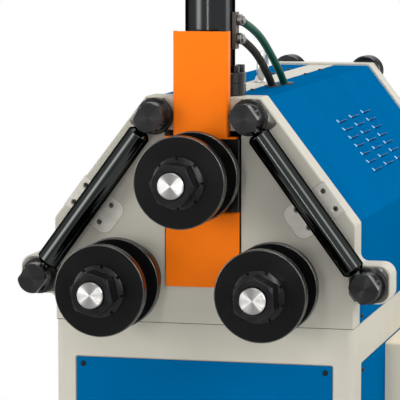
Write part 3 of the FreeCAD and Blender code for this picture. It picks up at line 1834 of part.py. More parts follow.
def make_drive_motor():
    """Motor that hangs from the reducer into the cabinet."""
    top = pinion_height - reducer_height
    return ribbed_motor(0, reducer_center_y, (top - drive_motor_length, top), drive_motor_radius, True)


# Hydraulic unit

tank_floor = cabinet_floor + cabinet_floor_thickness + tank_rise
tank_top = tank_floor + tank_height


def make_oil_tank():
    """Open oil tank on two runners across the cabinet's floor."""
    shell = box((-tank_half, tank_half), (tank_front, tank_back), (tank_floor, tank_top))
    cavity = box(
        (-tank_half + tank_wall, tank_half - tank_wall),
        (tank_front + tank_wall, tank_back - tank_wall),
        (tank_floor + tank_wall, tank_top + overrun),
    )
    runners = []
    half = tank_rise / 2
    for y in (tank_front + tank_rise, tank_back - tank_rise):
        runner_height = (tank_floor - tank_rise, tank_floor)
        runners.append(box((-tank_half, tank_half), (y - half, y + half), runner_height))
    return fuse_all([shell.cut(cavity)] + runners)


def make_tank_lid():
    """Lid plate of the tank with the opening for the pump."""
    lid = prism_z(
        rectangle(
            (-tank_half - tank_lid_overhang, tank_half + tank_lid_overhang),
            (tank_front - tank_lid_overhang, tank_back + tank_lid_overhang),
            tank_lid_overhang,
        ),
        (tank_top, tank_lid_top),
    )
    through = (tank_top - overrun, tank_lid_top + overrun)
    return lid.cut(rod_z(pump_opening_radius, through, pump_motor_x, pump_motor_y))


def make_pump_motor():
    """Vertical motor on the tank lid."""
    span = (tank_lid_top, tank_lid_top + pump_motor_length)
    return ribbed_motor(pump_motor_x, pump_motor_y, span, pump_motor_radius, False)


def make_oil_pump():
    """Gear pump under the lid with its suction strainer, hung from the motor's flange."""
    high = tank_lid_top
    return turned_z(
        [
            (high - pump_length, pump_radius / 2),
            (high - pump_length * 2 / 3, pump_radius / 2),
            (high - pump_length * 2 / 3, pump_radius),
            (high - tank_lid_thickness * 2, pump_radius),
            (high - tank_lid_thickness * 2, pump_opening_radius - face_clearance),
            (high, pump_opening_radius - face_clearance),
        ],
        pump_motor_x,
        pump_motor_y,
    )


def make_valve_block():
    """Valve block on the lid with its two solenoids."""
    block = box(
        (valve_center_x - valve_half_x, valve_center_x + valve_half_x),
        (valve_center_y - valve_half_y, valve_center_y + valve_half_y),
        (tank_lid_top, valve_block_top),
    )
    coils = []
    for side in (-1, 1):
        y = valve_center_y + side * solenoid_spread
        z = tank_lid_top + valve_height / 2
        start = valve_center_x + valve_half_x
        coils.append(rod_x(solenoid_radius, (start, start + solenoid_length), y, z))
    return fuse_all([block] + coils)


# Build every node

os.makedirs("parts", exist_ok=True)
publish("front_plate", make_front_plate())
publish("rear_plate", make_rear_plate())
publish("tool_pads", make_tool_pads())
publish("guide_posts", make_guide_posts())
publish("tie_rods", make_tie_rods())
publish("tie_nuts", make_tie_nuts())
publish("guide_bars", make_guide_bars())
publish("lower_bearings", make_lower_bearings())
publish("bearing_caps", make_bearing_caps())

for name, (roll_x, roll_z) in lower_roll_places.items():
    publish(name + "_roll_shaft", make_shaft(roll_x, roll_z, lower_shaft_rear()))
    publish(name + "_drive_gear", make_drive_gear(roll_x, roll_z))
publish("top_roll_shaft", make_shaft(0, top_roll_height, top_shaft_rear()))
for name, (roll_x, roll_z) in list(lower_roll_places.items()) + [("top", (0, top_roll_height))]:
    discs = [make_front_disc(roll_x, roll_z), make_rear_disc(roll_x, roll_z)]
    publish(name + "_roll_discs", discs)
    publish(name + "_roll_core", make_core(roll_x, roll_z))
    publish(name + "_shaft_nut", make_shaft_nut(roll_x, roll_z, nut_turns[name]))

publish("slide_block", make_slide_block())
publish("slide_nose", make_slide_nose())
publish("top_bearings", make_top_bearings())
publish("lower_guard", make_lower_guard())
publish("upper_guard", make_upper_guard())
publish("piston_rod", make_piston_rod())
publish("guide_rails", make_guide_rails())
publish("top_bridge", make_top_bridge())

publish("cylinder_flange", make_cylinder_flange())
publish("cylinder_barrel", make_cylinder_barrel())
publish("cylinder_cap", make_cylinder_cap())
publish("flange_bolts", make_flange_bolts())
publish("port_block", make_port_block())
publish("hose_fittings", make_hose_fittings())
green_hose = make_hose("green hose", green_hose_route)
black_hose = make_hose("black hose", black_hose_route)
publish("green_hose", green_hose)
publish("black_hose", black_hose)
publish("hose_grommets", make_grommets((green_hose, black_hose)))

publish("right_cover", make_cover(True))
publish("left_cover", mirrored(make_cover(False)))
publish("top_strip", make_top_strip())
publish("cover_screws", make_cover_screws())
publish("lifting_eye", make_lifting_eye())

publish("base_cabinet", make_base_cabinet())
publish("front_panel", make_end_panel((0, cabinet_wall)))
rear_panel = make_end_panel((body_depth - cabinet_wall, body_depth))
publish("cabinet_panels", [rear_panel] + make_side_panels())
publish("electric_box", make_electric_box())
publish("electric_door", make_electric_door())
publish("door_hinges", make_door_hinges())
publish("door_latch", make_door_latch())

publish("drive_pinion", make_drive_pinion())
publish("gear_reducer", make_gear_reducer())
publish("drive_motor", make_drive_motor())
publish("oil_tank", make_oil_tank())
publish("tank_lid", make_tank_lid())
publish("pump_motor", make_pump_motor())
publish("oil_pump", make_oil_pump())
publish("valve_block", make_valve_block())
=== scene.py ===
"""Looks of the three-roll ring bending machine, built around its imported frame.

Every size is in millimetres in the machine's drawing datum: X right of the slide, Y back from the
front plate's face, Z up from the cabinet's top. One function turns it into the frame's metres.
"""

import json
import logging
import math
from dataclasses import dataclass, field
from enum import Enum, auto

import bmesh
import bpy
import numpy as np
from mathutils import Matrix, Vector
from numpy.typing import NDArray

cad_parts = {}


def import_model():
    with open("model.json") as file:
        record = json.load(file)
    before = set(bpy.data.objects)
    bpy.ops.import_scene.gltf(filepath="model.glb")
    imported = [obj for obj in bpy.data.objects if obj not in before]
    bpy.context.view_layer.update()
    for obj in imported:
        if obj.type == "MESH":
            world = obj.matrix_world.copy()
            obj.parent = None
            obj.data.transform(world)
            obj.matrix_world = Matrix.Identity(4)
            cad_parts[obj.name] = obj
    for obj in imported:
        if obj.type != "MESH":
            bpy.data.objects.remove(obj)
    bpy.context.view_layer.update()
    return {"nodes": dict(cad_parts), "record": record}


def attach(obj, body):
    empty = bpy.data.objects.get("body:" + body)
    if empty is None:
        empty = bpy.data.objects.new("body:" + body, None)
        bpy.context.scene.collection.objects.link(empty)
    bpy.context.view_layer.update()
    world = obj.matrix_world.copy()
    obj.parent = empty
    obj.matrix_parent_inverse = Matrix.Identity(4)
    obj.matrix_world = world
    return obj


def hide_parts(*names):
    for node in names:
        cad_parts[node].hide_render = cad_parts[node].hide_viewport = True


log = logging.getLogger("ring_roller")

Array = NDArray[np.float64]
Point = tuple[float, float, float]
Colour = tuple[float, float, float]
Pair = tuple[float, float]
Piece = bpy.types.Object
Material = bpy.types.Material
Node = bpy.types.Node
Socket = bpy.types.NodeSocket
Tree = bpy.types.NodeTree

DATUM = np.array([0.0, -573.0, 790.0])
PER_METRE = 1000.0
TAU = 2.0 * math.pi
QUARTER = math.pi / 2.0
HALF_FLAT = math.pi / 6.0
HAIR = 0.05
WELD = 0.000001
SIDES = ((1.0, "right"), (-1.0, "left"))
UPPER_POST = (86.0, 374.0)
LOWER_POST = (302.0, 81.0)
BARE_STEEL = (0.30, 0.29, 0.28)
SHOP_DUST = (0.55, 0.52, 0.47)
CREAM = (0.55, 0.533, 0.465)
GREEN_ROUTE = (
    (54.5, 82.0, 538.5), (57.6, 172.0, 520.5), (57.4, 292.0, 476.5), (57.0, 452.0, 400.0),
    (57.0, 503.0, 318.0), (57.0, 508.0, 180.0), (58.0, 508.0, -395.0),
)
BLACK_ROUTE = (
    (54.5, 82.0, 505.0), (53.8, 150.0, 491.0), (50.6, 256.0, 458.0), (46.5, 398.0, 392.5),
    (46.5, 436.0, 305.0), (48.0, 440.0, 180.0), (47.0, 440.0, -395.0),
)


def metres(points: Array) -> Array:
    """Datum millimetres to frame metres: add the datum's shift and divide by a thousand.

    Args:
        points: array whose last axis is (x, y, z) in millimetres.

    Returns:
        The same array in metres.
    """
    return (np.asarray(points, dtype=float) + DATUM) / PER_METRE


def circle(segments: int) -> Array:
    """Angles of even steps once round, from zero."""
    return np.linspace(0.0, TAU, segments, endpoint=False)


def off_flat(angle: Array) -> Array:
    """Angle to the nearest flat of a hexagon whose first flat looks along zero."""
    return (angle + HALF_FLAT) % (2.0 * HALF_FLAT) - HALF_FLAT


class Turn(Enum):
    """Directions that a turned piece can lie along, as (axis, side) pairs."""

    ALONG_X = ((1.0, 0.0, 0.0), (0.0, 1.0, 0.0))
    ALONG_Y = ((0.0, 1.0, 0.0), (1.0, 0.0, 0.0))
    ALONG_Z = ((0.0, 0.0, 1.0), (1.0, 0.0, 0.0))


LATHE_TURNS = {
    Turn.ALONG_X: (0.0, QUARTER, 0.0),
    Turn.ALONG_Y: (QUARTER, 0.0, 0.0),
    Turn.ALONG_Z: (0.0, 0.0, 0.0),
}


@dataclass(frozen=True)
class Spindle:
    """A line that profiles are turned about: a base point, a direction and a side."""

    base: Point
    axis: Point = Turn.ALONG_Y.value[0]
    side: Point = Turn.ALONG_Y.value[1]

    def place(self, along: Array, radius: Array, angle: Array) -> Array:
        """Points at base + axis * along + radius * (side * cos + third * sin).

        Args:
            along: distance along the axis.
            radius: distance from the axis.
            angle: turn about the axis from the side.

        Returns:
            Points in millimetres, with the arrays' common shape and a last axis of three.
        """
        axis = np.array(self.axis)
        side = np.array(self.side)
        third = np.cross(axis, side)
        spread = np.cos(angle)[..., None] * side + np.sin(angle)[..., None] * third
        return np.array(self.base) + along[..., None] * axis + radius[..., None] * spread


@dataclass
class Draft:
    """Surfaces gathered into one mesh: points, quads, their corners' map coordinates and tones."""

    points: list[Array] = field(default_factory=list)
    quads: list[NDArray[np.int64]] = field(default_factory=list)
    maps: list[Array] = field(default_factory=list)
    tones: list[NDArray[np.int64]] = field(default_factory=list)

    def grid(
        self,
        surface: Array,
        wrap_rows: bool = False,
        wrap_columns: bool = False,
        tone: Array | None = None,
    ) -> None:
        """Add a surface given as a grid of points, joined to itself where it wraps.

        Args:
            surface: rows by columns by three, in millimetres.
            wrap_rows: join the last row to the first.
            wrap_columns: join the last column to the first.
            tone: for each point, the number of its quad's material.
        """
        rows, columns = surface.shape[:2]
        start = sum(len(part) for part in self.points)
        row_count = rows if wrap_rows else rows - 1
        column_count = columns if wrap_columns else columns - 1
        row, column = np.meshgrid(np.arange(row_count), np.arange(column_count), indexing="ij")
        next_row = (row + 1) % rows
        next_column = (column + 1) % columns
        corners = [(row, column), (row, next_column), (next_row, next_column), (next_row, column)]
        quads = np.stack([a * columns + b for a, b in corners], axis=-1)
        across = [column, column + 1, column + 1, column]
        down = [row, row, row + 1, row + 1]
        chart = [
            np.stack([u / column_count, v / row_count], axis=-1) for u, v in zip(across, down)
        ]
        self.points.append(surface.reshape(-1, 3))
        self.quads.append(quads.reshape(-1, 4) + start)
        self.maps.append(np.stack(chart, axis=-2).reshape(-1, 2))
        marks = np.zeros((rows, columns)) if tone is None else tone
        chosen = np.minimum(marks[row, column], marks[next_row, next_column])
        self.tones.append(chosen.reshape(-1).astype(np.int64))

    def round(
        self,
        spindle: Spindle,
        along: Array,
        radius: Array,
        angle: Array,
        tone: Array | None = None,
    ) -> None:
        """Add a surface that closes round a spindle, from arrays of one common shape.

        Args:
            spindle: the line it runs round.
            along: distance along the line, rows by columns or rows by one.
            radius: distance from the line, rows by columns or rows by one.
            angle: turn about the line, rows by columns or one for each column.
            tone: for each point, the number of its quad's material.
        """
        surface = spindle.place(*np.broadcast_arrays(along, radius, angle))
        self.grid(surface, wrap_columns=True, tone=tone)

    def turned(
        self, profile: Array, spindle: Spindle, segments: int = 96, tone: float | Array = 0.0
    ) -> None:
        """Add a closed profile of (along, radius) pairs turned once about a spindle.

        Args:
            profile: pairs; the profile closes on itself or ends on the axis.
            spindle: the line it turns about.
            segments: number of steps round.
            tone: number of its material, or one for each pair.
        """
        marks = np.zeros((len(profile), segments)) + np.reshape(tone, (-1, 1))
        self.round(spindle, profile[:, :1], profile[:, 1:], circle(segments), marks)

    def build(self, name: str, sharp_degrees: float = 32.0) -> Piece:
        """Make the mesh object: doubles merged, normals outwards, smooth but for sharp edges.

        Args:
            name: the object's name.
            sharp_degrees: edges that bend more than this stay sharp.

        Returns:
            The object, at the frame's origin.
        """
        points = metres(np.concatenate(self.points))
        quads = np.concatenate(self.quads)
        mesh = bpy.data.meshes.new(name)
        mesh.vertices.add(len(points))
        mesh.vertices.foreach_set("co", points.ravel())
        mesh.loops.add(quads.size)
        mesh.loops.foreach_set("vertex_index", quads.ravel())
        mesh.polygons.add(len(quads))
        mesh.polygons.foreach_set("loop_start", np.arange(0, quads.size, 4))
        mesh.polygons.foreach_set("material_index", np.concatenate(self.tones))
        layer = mesh.uv_layers.new(name="run")
        layer.data.foreach_set("uv", np.concatenate(self.maps).ravel())
        mesh.update(calc_edges=True)
        mesh.validate()
        work = bmesh.new()
        work.from_mesh(mesh)
        bmesh.ops.remove_doubles(work, verts=work.verts, dist=WELD)
        bmesh.ops.recalc_face_normals(work, faces=work.faces)
        work.to_mesh(mesh)
        work.free()
        mesh.polygons.foreach_set("use_smooth", np.ones(len(mesh.polygons), dtype=bool))
        mesh.set_sharp_from_angle(angle=math.radians(sharp_degrees))
        piece = bpy.data.objects.new(name, mesh)
        bpy.context.scene.collection.objects.link(piece)
        return piece


def eased(corners: list[Pair], radius: float, steps: int = 4) -> Array:
    """Polyline with each inner corner rounded by an arc that touches both of its sides.

    Args:
        corners: pairs (along, radius) from one end to the other.
        radius: radius of the arcs, less where a side is too short.
        steps: steps of each arc.

    Returns:
        The rounded polyline as an array of pairs.
    """
    straight = math.radians(89.0)
    side_share = 0.4
    lead = 0.15
    path = np.array(corners, dtype=float)
    out = [path[0]]
    for before, here, after in zip(path[:-2], path[1:-1], path[2:]):
        back = before - here
        ahead = after - here
        back_length = np.linalg.norm(back)
        ahead_length = np.linalg.norm(ahead)
        back /= back_length
        ahead /= ahead_length
        half = math.acos(max(-1.0, min(1.0, float(back @ ahead)))) / 2.0
        if half > straight or radius <= 0.0:
            out.append(here)
            continue
        room = side_share * min(back_length, ahead_length)
        reach = min(radius / math.tan(half), room)
        bend = reach * math.tan(half)
        middle = back + ahead
        center = here + middle / np.linalg.norm(middle) * math.hypot(reach, bend)
        start = here + back * reach
        end = here + ahead * reach
        first = math.atan2(*(start - center)[::-1])
        sweep = (math.atan2(*(end - center)[::-1]) - first + math.pi) % TAU - math.pi
        out.append(start + back * reach * lead)
        angle = first + sweep * np.linspace(0.0, 1.0, steps + 1)
        out.extend(center + bend * np.stack([np.cos(angle), np.sin(angle)], axis=-1))
        out.append(end + ahead * reach * lead)
    out.append(path[-1])
    return np.array(out)


def ring_section(
    low: float, high: float, outer: float, inner: float, ease: float, steps: int = 4
) -> Array:
    """Closed section of a ring between two faces, with its corners eased.

    Args:
        low: first face.
        high: second face.
        outer: outer radius.
        inner: bore radius.
        ease: radius of the corners.
        steps: steps of each corner.

    Returns:
        Section as (along, radius) pairs, first point repeated last.
    """
    seam = ((low + high) / 2.0, inner)
    corners = [seam, (low, inner), (low, outer), (high, outer), (high, inner), seam]
    return eased(corners, ease, steps)


def box_reach(x: Array, z: Array, half_x: float, half_z: Array, corner: float) -> Array:
    """How far rays from a rounded box's middle run: to a side, or to a corner's arc.

    A side lies at half / |direction|; the arc at b + sqrt(b^2 - c^2 + corner^2), with c the arc's
    centre and b its share along the ray.

    Args:
        x: the rays' unit directions across.
        z: the rays' unit directions up.
        half_x: half of the box's width.
        half_z: half of its height.
        corner: radius of its corners.

    Returns:
        The distances.
    """
    tiny = 1e-6
    x = np.abs(x)
    z = np.abs(z)
    straight = np.minimum(half_x / np.maximum(x, tiny), half_z / np.maximum(z, tiny))
    center_x = half_x - corner
    center_z = half_z - corner
    along = x * center_x + z * center_z
    root = along ** 2 - center_x ** 2 - center_z ** 2 + corner ** 2
    rounded = (straight * x > center_x) & (straight * z > center_z)
    return np.where(rounded, along + np.sqrt(np.maximum(root, 0.0)), straight)


@dataclass(frozen=True)
class SocketHead:
    """Screw head with a hexagon socket, straight sided or domed.

    The radius is the head's outer one, the socket half of its width across flats, and the dome the
    share of a quarter circle that the side curves through, zero for a straight side.
    """

    radius: float
    height: float
    socket: float
    dome: float = 0.0
    bevel: float = 1.0
    lip: float = 0.3

    def add(self, draft: Draft, spindle: Spindle) -> None:
        """Add the head: each point of a dome is (height * sin, radius * cos) of its angle.

        Args:
            draft: the mesh that takes the head.
            spindle: foot of the head and the way it points.
        """
        angle = circle(48)
        hexagon = self.socket / np.cos(off_flat(angle))
        high, wide = self.height, self.radius
        if self.dome > 0.0:
            climb = np.linspace(0.0, self.dome * QUARTER, 6)
            top = math.sin(climb[-1])
            outer = [(high * math.sin(a) / top, wide * math.cos(a)) for a in climb]
        else:
            outer = [(0.0, wide), (high - self.bevel, wide)]
            outer += [(high - self.lip, wide - self.lip), (high, wide - self.bevel)]
        axis = np.zeros_like(angle)
        rows = [axis] + [axis + r for _, r in outer] + [hexagon + self.lip, hexagon, hexagon, axis]
        places = [0.0] + [h for h, _ in outer] + [high, high - self.lip, high * 0.5, high * 0.45]
        draft.round(spindle, np.array(places)[:, None], np.array(rows), angle)


# Shader graphs


class Graph:
    """A node tree with short calls to add nodes and join their sockets."""

    def __init__(self, tree: Tree) -> None:
        """Keep the tree."""
        self.tree = tree

    def node(self, kind: str, **settings: object) -> Node:
        """Add a node of a kind and set its properties.

        Args:
            kind: the node's type without the ShaderNode prefix.
            settings: properties of the node.

        Returns:
            The new node.
        """
        made = self.tree.nodes.new("ShaderNode" + kind)
        for name, value in settings.items():
            setattr(made, name, value)
        return made

    def join(self, source: Socket, node: Node, socket: str | int) -> None:
        """Link an output to a node's input."""
        self.tree.links.new(source, node.inputs[socket])

    def math(
        self,
        operation: str,
        first: object,
        second: object = None,
        third: object = None,
        clamp: bool = False,
    ) -> Socket:
        """Add a Math node on sockets or numbers.

        Args:
            operation: the Math node's operation.
            first: socket or number.
            second: socket or number, where the operation takes two.
            third: socket or number, where it takes three.
            clamp: keep the result between zero and one.

        Returns:
            The result's socket.
        """
        made = self.node("Math", operation=operation, use_clamp=clamp)
        for index, value in enumerate((first, second, third)):
            if isinstance(value, Socket):
                self.join(value, made, index)
            elif value is not None:
                made.inputs[index].default_value = float(value)
        return made.outputs[0]

    def mix(self, factor: object, first: object, second: object) -> Socket:
        """Mix two colours.

        Args:
            factor: socket or number.
            first: socket or colour at factor zero.
            second: socket or colour at factor one.

        Returns:
            The mixed colour's socket.
        """
        made = self.node("Mix", data_type="RGBA")
        for index, value in ((0, factor), (6, first), (7, second)):
            if isinstance(value, Socket):
                self.join(value, made, index)
            elif index == 0:
                made.inputs[0].default_value = float(value)
            else:
                made.inputs[index].default_value = (*value, 1.0)
        return made.outputs[2]

    def noise(
        self, vector: Socket, scale: float, detail: float = 3.0, rough: float = 0.5
    ) -> Socket:
        """Noise texture on a vector, as a value around one half.

        Args:
            vector: coordinates.
            scale: cells per metre.
            detail: octaves.
            rough: strength of the finer octaves.

        Returns:
            The value's socket.
        """
        made = self.node("TexNoise")
        self.join(vector, made, "Vector")
        made.inputs["Scale"].default_value = scale
        made.inputs["Detail"].default_value = detail
        made.inputs["Roughness"].default_value = rough
        return made.outputs["Fac"]

    def ramp(self, value: Socket, low: float, high: float) -> Socket:
        """Value stretched so that low becomes zero and high becomes one, clamped.

        Args:
            value: the input.
            low: value that becomes zero.
            high: value that becomes one.

        Returns:
            The result's socket.
        """
        made = self.node("MapRange", clamp=True)
        self.join(value, made, "Value")
        made.inputs["From Min"].default_value = low
        made.inputs["From Max"].default_value = high
        return made.outputs["Result"]

    def group(self, tree: Tree, **values: object) -> Node:
        """Place a shared effect with its own values.

        Args:
            tree: the effect's node group.
            values: names of inputs, and their numbers or sockets.

        Returns:
            The group node.
        """
        made = self.node("Group")
        made.node_tree = tree
        for name, value in values.items():
            if isinstance(value, Socket):
                self.join(value, made, name)
            else:
                made.inputs[name].default_value = value
        return made


class Effect(Enum):
    """Effects that several finishes share."""

    WEAR = auto()
    PEEL = auto()
    RINGS = auto()
    DUST = auto()
    GRIND = auto()


class Effects:
    """The shared effects, each built once as a node group."""

    def __init__(self) -> None:
        """Build every group."""
        self.trees: dict[Effect, Tree] = {
            Effect.WEAR: self._wear(),
            Effect.PEEL: self._peel(),
            Effect.RINGS: self._rings(),
            Effect.DUST: self._dust(),
            Effect.GRIND: self._grind(),
        }

    @staticmethod
    def _open(
        name: str, inputs: dict[str, float | None], outputs: list[str]
    ) -> tuple[Graph, Node, Node]:
        """Start a group with its sockets.

        Args:
            name: the group's name.
            inputs: names with their default, or None for a vector.
            outputs: names of the values it puts out.

        Returns:
            The graph, the input node and the output node.
        """
        tree = bpy.data.node_groups.new(name, "ShaderNodeTree")
        for label, default in inputs.items():
            kind = "NodeSocketVector" if default is None else "NodeSocketFloat"
            socket = tree.interface.new_socket(name=label, in_out="INPUT", socket_type=kind)
            if default is not None:
                socket.default_value = default
        for label in outputs:
            tree.interface.new_socket(name=label, in_out="OUTPUT", socket_type="NodeSocketFloat")
        graph = Graph(tree)
        return graph, tree.nodes.new("NodeGroupInput"), tree.nodes.new("NodeGroupOutput")

    def _wear(self) -> Tree:
        """Mask of worn edges: where the rounded normal leaves the true one, broken by noise.

        Returns:
            The group's tree.
        """
        flat, bent = 0.985, 0.80
        whole, bare = 0.48, 0.62
        inputs = {"Vector": None, "Width": 0.0015, "Amount": 0.5}
        graph, given, out = self._open("edge_wear", inputs, ["Mask"])
        bevel = graph.node("Bevel", samples=6)
        graph.join(given.outputs["Width"], bevel, "Radius")
        dot = graph.node("VectorMath", operation="DOT_PRODUCT")
        graph.join(bevel.outputs[0], dot, 0)
        graph.join(graph.node("NewGeometry").outputs["Normal"], dot, 1)
        edge = graph.ramp(dot.outputs["Value"], flat, bent)
        broken = graph.ramp(graph.noise(given.outputs["Vector"], 60.0, 5.0, 0.7), whole, bare)
        worn = graph.math("MULTIPLY", edge, broken)
        graph.join(graph.math("MULTIPLY", worn, given.outputs["Amount"], clamp=True), out, "Mask")
        return graph.tree

    def _peel(self) -> Tree:
        """Sprayed paint: a fine height of soft cells and a slow mottle of tone.

        Returns:
            The group's tree.
        """
        inputs = {"Vector": None, "Cells": 220.0}
        graph, given, out = self._open("spray_paint", inputs, ["Height", "Mottle"])
        cells = graph.node("TexNoise")
        graph.join(given.outputs["Vector"], cells, "Vector")
        graph.join(given.outputs["Cells"], cells, "Scale")
        cells.inputs["Detail"].default_value = 1.5
        graph.join(cells.outputs["Fac"], out, "Height")
        graph.join(graph.noise(given.outputs["Vector"], 3.5, 4.0, 0.55), out, "Mottle")
        return graph.tree

    def _rings(self) -> Tree:
        """Lathe marks about the local Z axis: a wave on the radius, a tone per ring and a painted
        reflection bow-tie.

        The bow-tie, a painted reflection pattern, is half of the squared share across, plus streaks
        that run out from the centre.

        Returns:
            The group's tree.
        """
        rings_per_tone = 0.31
        inputs = {"Vector": None, "Pitch": 0.0012}
        graph, given, out = self._open("lathe_rings", inputs, ["Height", "Tone", "PaintedFan"])
        parts = graph.node("SeparateXYZ")
        graph.join(given.outputs["Vector"], parts, 0)
        x, y = parts.outputs[0], parts.outputs[1]
        square = graph.math("ADD", graph.math("MULTIPLY", x, x), graph.math("MULTIPLY", y, y))
        count = graph.math("DIVIDE", graph.math("SQRT", square), given.outputs["Pitch"])
        graph.join(graph.math("SINE", graph.math("MULTIPLY", count, TAU)), out, "Height")
        bands = graph.node("TexNoise", noise_dimensions="1D")
        graph.join(graph.math("MULTIPLY", count, rings_per_tone), bands, "W")
        bands.inputs["Scale"].default_value = 1.0
        bands.inputs["Detail"].default_value = 4.0
        graph.join(bands.outputs["Fac"], out, "Tone")
        # Painted reflection: the bow-tie output below, a pattern of light and dark wedges about the
        # centre.
        flat = graph.node("CombineXYZ")
        graph.join(x, flat, 0)
        graph.join(y, flat, 1)
        spoke = graph.node("VectorMath", operation="NORMALIZE")
        graph.join(flat.outputs[0], spoke, 0)
        sides = graph.node("SeparateXYZ")
        graph.join(spoke.outputs[0], sides, 0)
        across = graph.math("MULTIPLY", sides.outputs[0], sides.outputs[0])
        streak = graph.noise(spoke.outputs[0], 5.0, 3.0, 0.6)
        streak = graph.math("MULTIPLY_ADD", streak, 0.8, -0.15)
        streak = graph.math("MULTIPLY", streak, 0.75)
        graph.join(graph.math("MULTIPLY_ADD", across, 0.5, streak), out, "PaintedFan")
        return graph.tree

    def _dust(self) -> Tree:
        """Shop dust: settles where the face looks up, in patches.

        Returns:
            The group's tree.
        """
        slanted, level = 0.35, 1.0
        clean, covered = 0.35, 0.75
        graph, given, out = self._open("shop_dust", {"Vector": None, "Amount": 0.3}, ["Mask"])
        parts = graph.node("SeparateXYZ")
        graph.join(graph.node("NewGeometry").outputs["Normal"], parts, 0)
        up = graph.ramp(parts.outputs[2], slanted, level)
        patches = graph.ramp(graph.noise(given.outputs["Vector"], 9.0, 6.0, 0.65), clean, covered)
        settled = graph.math("MULTIPLY", up, patches)
        mask = graph.math("MULTIPLY", settled, given.outputs["Amount"], clamp=True)
        graph.join(mask, out, "Mask")
        return graph.tree

    def _grind(self) -> Tree:
        """Grinding lines: noise drawn out along X, as a height and a tone.

        Returns:
            The group's tree.
        """
        drawn_out = (0.03, 1.0, 1.0)
        inputs = {"Vector": None, "Lines": 900.0}
        graph, given, out = self._open("grinding_lines", inputs, ["Height", "Tone"])
        stretch = graph.node("VectorMath", operation="MULTIPLY")
        graph.join(given.outputs["Vector"], stretch, 0)
        stretch.inputs[1].default_value = drawn_out
        lines = graph.node("TexNoise")
        graph.join(stretch.outputs[0], lines, "Vector")
        graph.join(given.outputs["Lines"], lines, "Scale")
        lines.inputs["Detail"].default_value = 2.0
        graph.join(lines.outputs["Fac"], out, "Height")
        graph.join(graph.noise(stretch.outputs[0], 120.0, 3.0), out, "Tone")
        return graph.tree


@dataclass(frozen=True)
class Patches:
    """Patchy noise: cells per metre, octaves and their strength, and the values it runs between."""

    scale: float
    detail: float
    rough: float
    low: float
    high: float


HAND_SMEARS = Patches(24.0, 5.0, 0.65, 0.35, 0.75)
OIL_SMEARS = Patches(30.0, 6.0, 0.7, 0.35, 0.75)
POLISH_SMEARS = Patches(18.0, 5.0, 0.65, 0.35, 0.75)
STAINS = Patches(40.0, 5.0, 0.65, 0.35, 0.8)
GRIME = Patches(14.0, 6.0, 0.65, 0.35, 0.75)
SCUFFS = Patches(45.0, 6.0, 0.7, 0.5, 0.85)
HOSE_SCUFFS = Patches(240.0, 4.0, 0.7, 0.45, 0.7)


class Surface:
    """One material's graph, with its shader, its coordinates and the shared effects."""

    def __init__(self, material: Material, effects: Effects) -> None:
        """Find the shader and add the coordinates.

        Args:
            material: the material, with its nodes in use.
            effects: the shared node groups.
        """
        self.graph = Graph(material.node_tree)
        self.shader = material.node_tree.nodes["Principled BSDF"]
        self.vector = self.graph.node("TexCoord").outputs["Object"]
        self.effects = effects

    def give(self, **values: object) -> None:
        """Set the shader's inputs, named with underscores for spaces."""
        for name, value in values.items():
            self.shader.inputs[name.replace("_", " ")].default_value = value

    def effect(self, kind: Effect, **values: object) -> Node:
        """Shared effect at the piece's own coordinates."""
        return self.graph.group(self.effects.trees[kind], Vector=self.vector, **values)

    def mask(self, kind: Effect, **values: object) -> Socket:
        """Mask of a shared effect."""
        return self.effect(kind, **values).outputs["Mask"]

    def patches(self, kind: Patches) -> Socket:
        """Patchy noise at the piece's own coordinates, as a value from zero to one."""
        noise = self.graph.noise(self.vector, kind.scale, kind.detail, kind.rough)
        return self.graph.ramp(noise, kind.low, kind.high)

    def colour(self, source: Socket) -> None:
        """Join a colour to the shader."""
        self.graph.join(source, self.shader, "Base Color")

    def roughen(self, mask: Socket, spread: float, base: object) -> None:
        """Roughness of base + spread * mask, between zero and one."""
        rough = self.graph.math("MULTIPLY_ADD", mask, spread, base, clamp=True)
        self.graph.join(rough, self.shader, "Roughness")

    def relief(self, height: Socket, depth: float, width: float = 0.0) -> None:
        """Soften the piece's sharp edges and lay a fine relief over them.

        Args:
            height: the relief.
            depth: its depth in metres.
            width: radius of the softened edges in metres.
        """
        bump = self.graph.node("Bump")
        bump.inputs["Strength"].default_value = 1.0
        bump.inputs["Distance"].default_value = depth
        self.graph.join(height, bump, "Height")
        if width > 0.0:
            bevel = self.graph.node("Bevel", samples=4)
            bevel.inputs["Radius"].default_value = width
            self.graph.join(bevel.outputs[0], bump, "Normal")
        self.graph.join(bump.outputs[0], self.shader, "Normal")


@dataclass(frozen=True)
class Finish:
    """A surface finish: a name, its colour and how rough and metallic it is."""

    name: str
    colour: Colour
    roughness: float = 0.5
    metallic: float = 0.0

    def material(self, effects: Effects) -> Material:
        """Build the material.

        Args:
            effects: the shared node groups.

        Returns:
            The material.
        """
        made = bpy.data.materials.new(self.name)
        made.use_nodes = True
        made.diffuse_color = (*self.colour, 1.0)
        surface = Surface(made, effects)
        surface.give(
            Base_Color=(*self.colour, 1.0), Roughness=self.roughness, Metallic=self.metallic
        )
        self.dress(surface)
        return made

    def dress(self, surface: Surface) -> None:
        """Add the finish's own nodes; a plain finish adds none."""

    def shade(self, share: float, lift: float = 0.0) -> Colour:
        """Its colour times a share, plus a lift, up to one."""
        return tuple(min(1.0, channel * share + lift) for channel in self.colour)


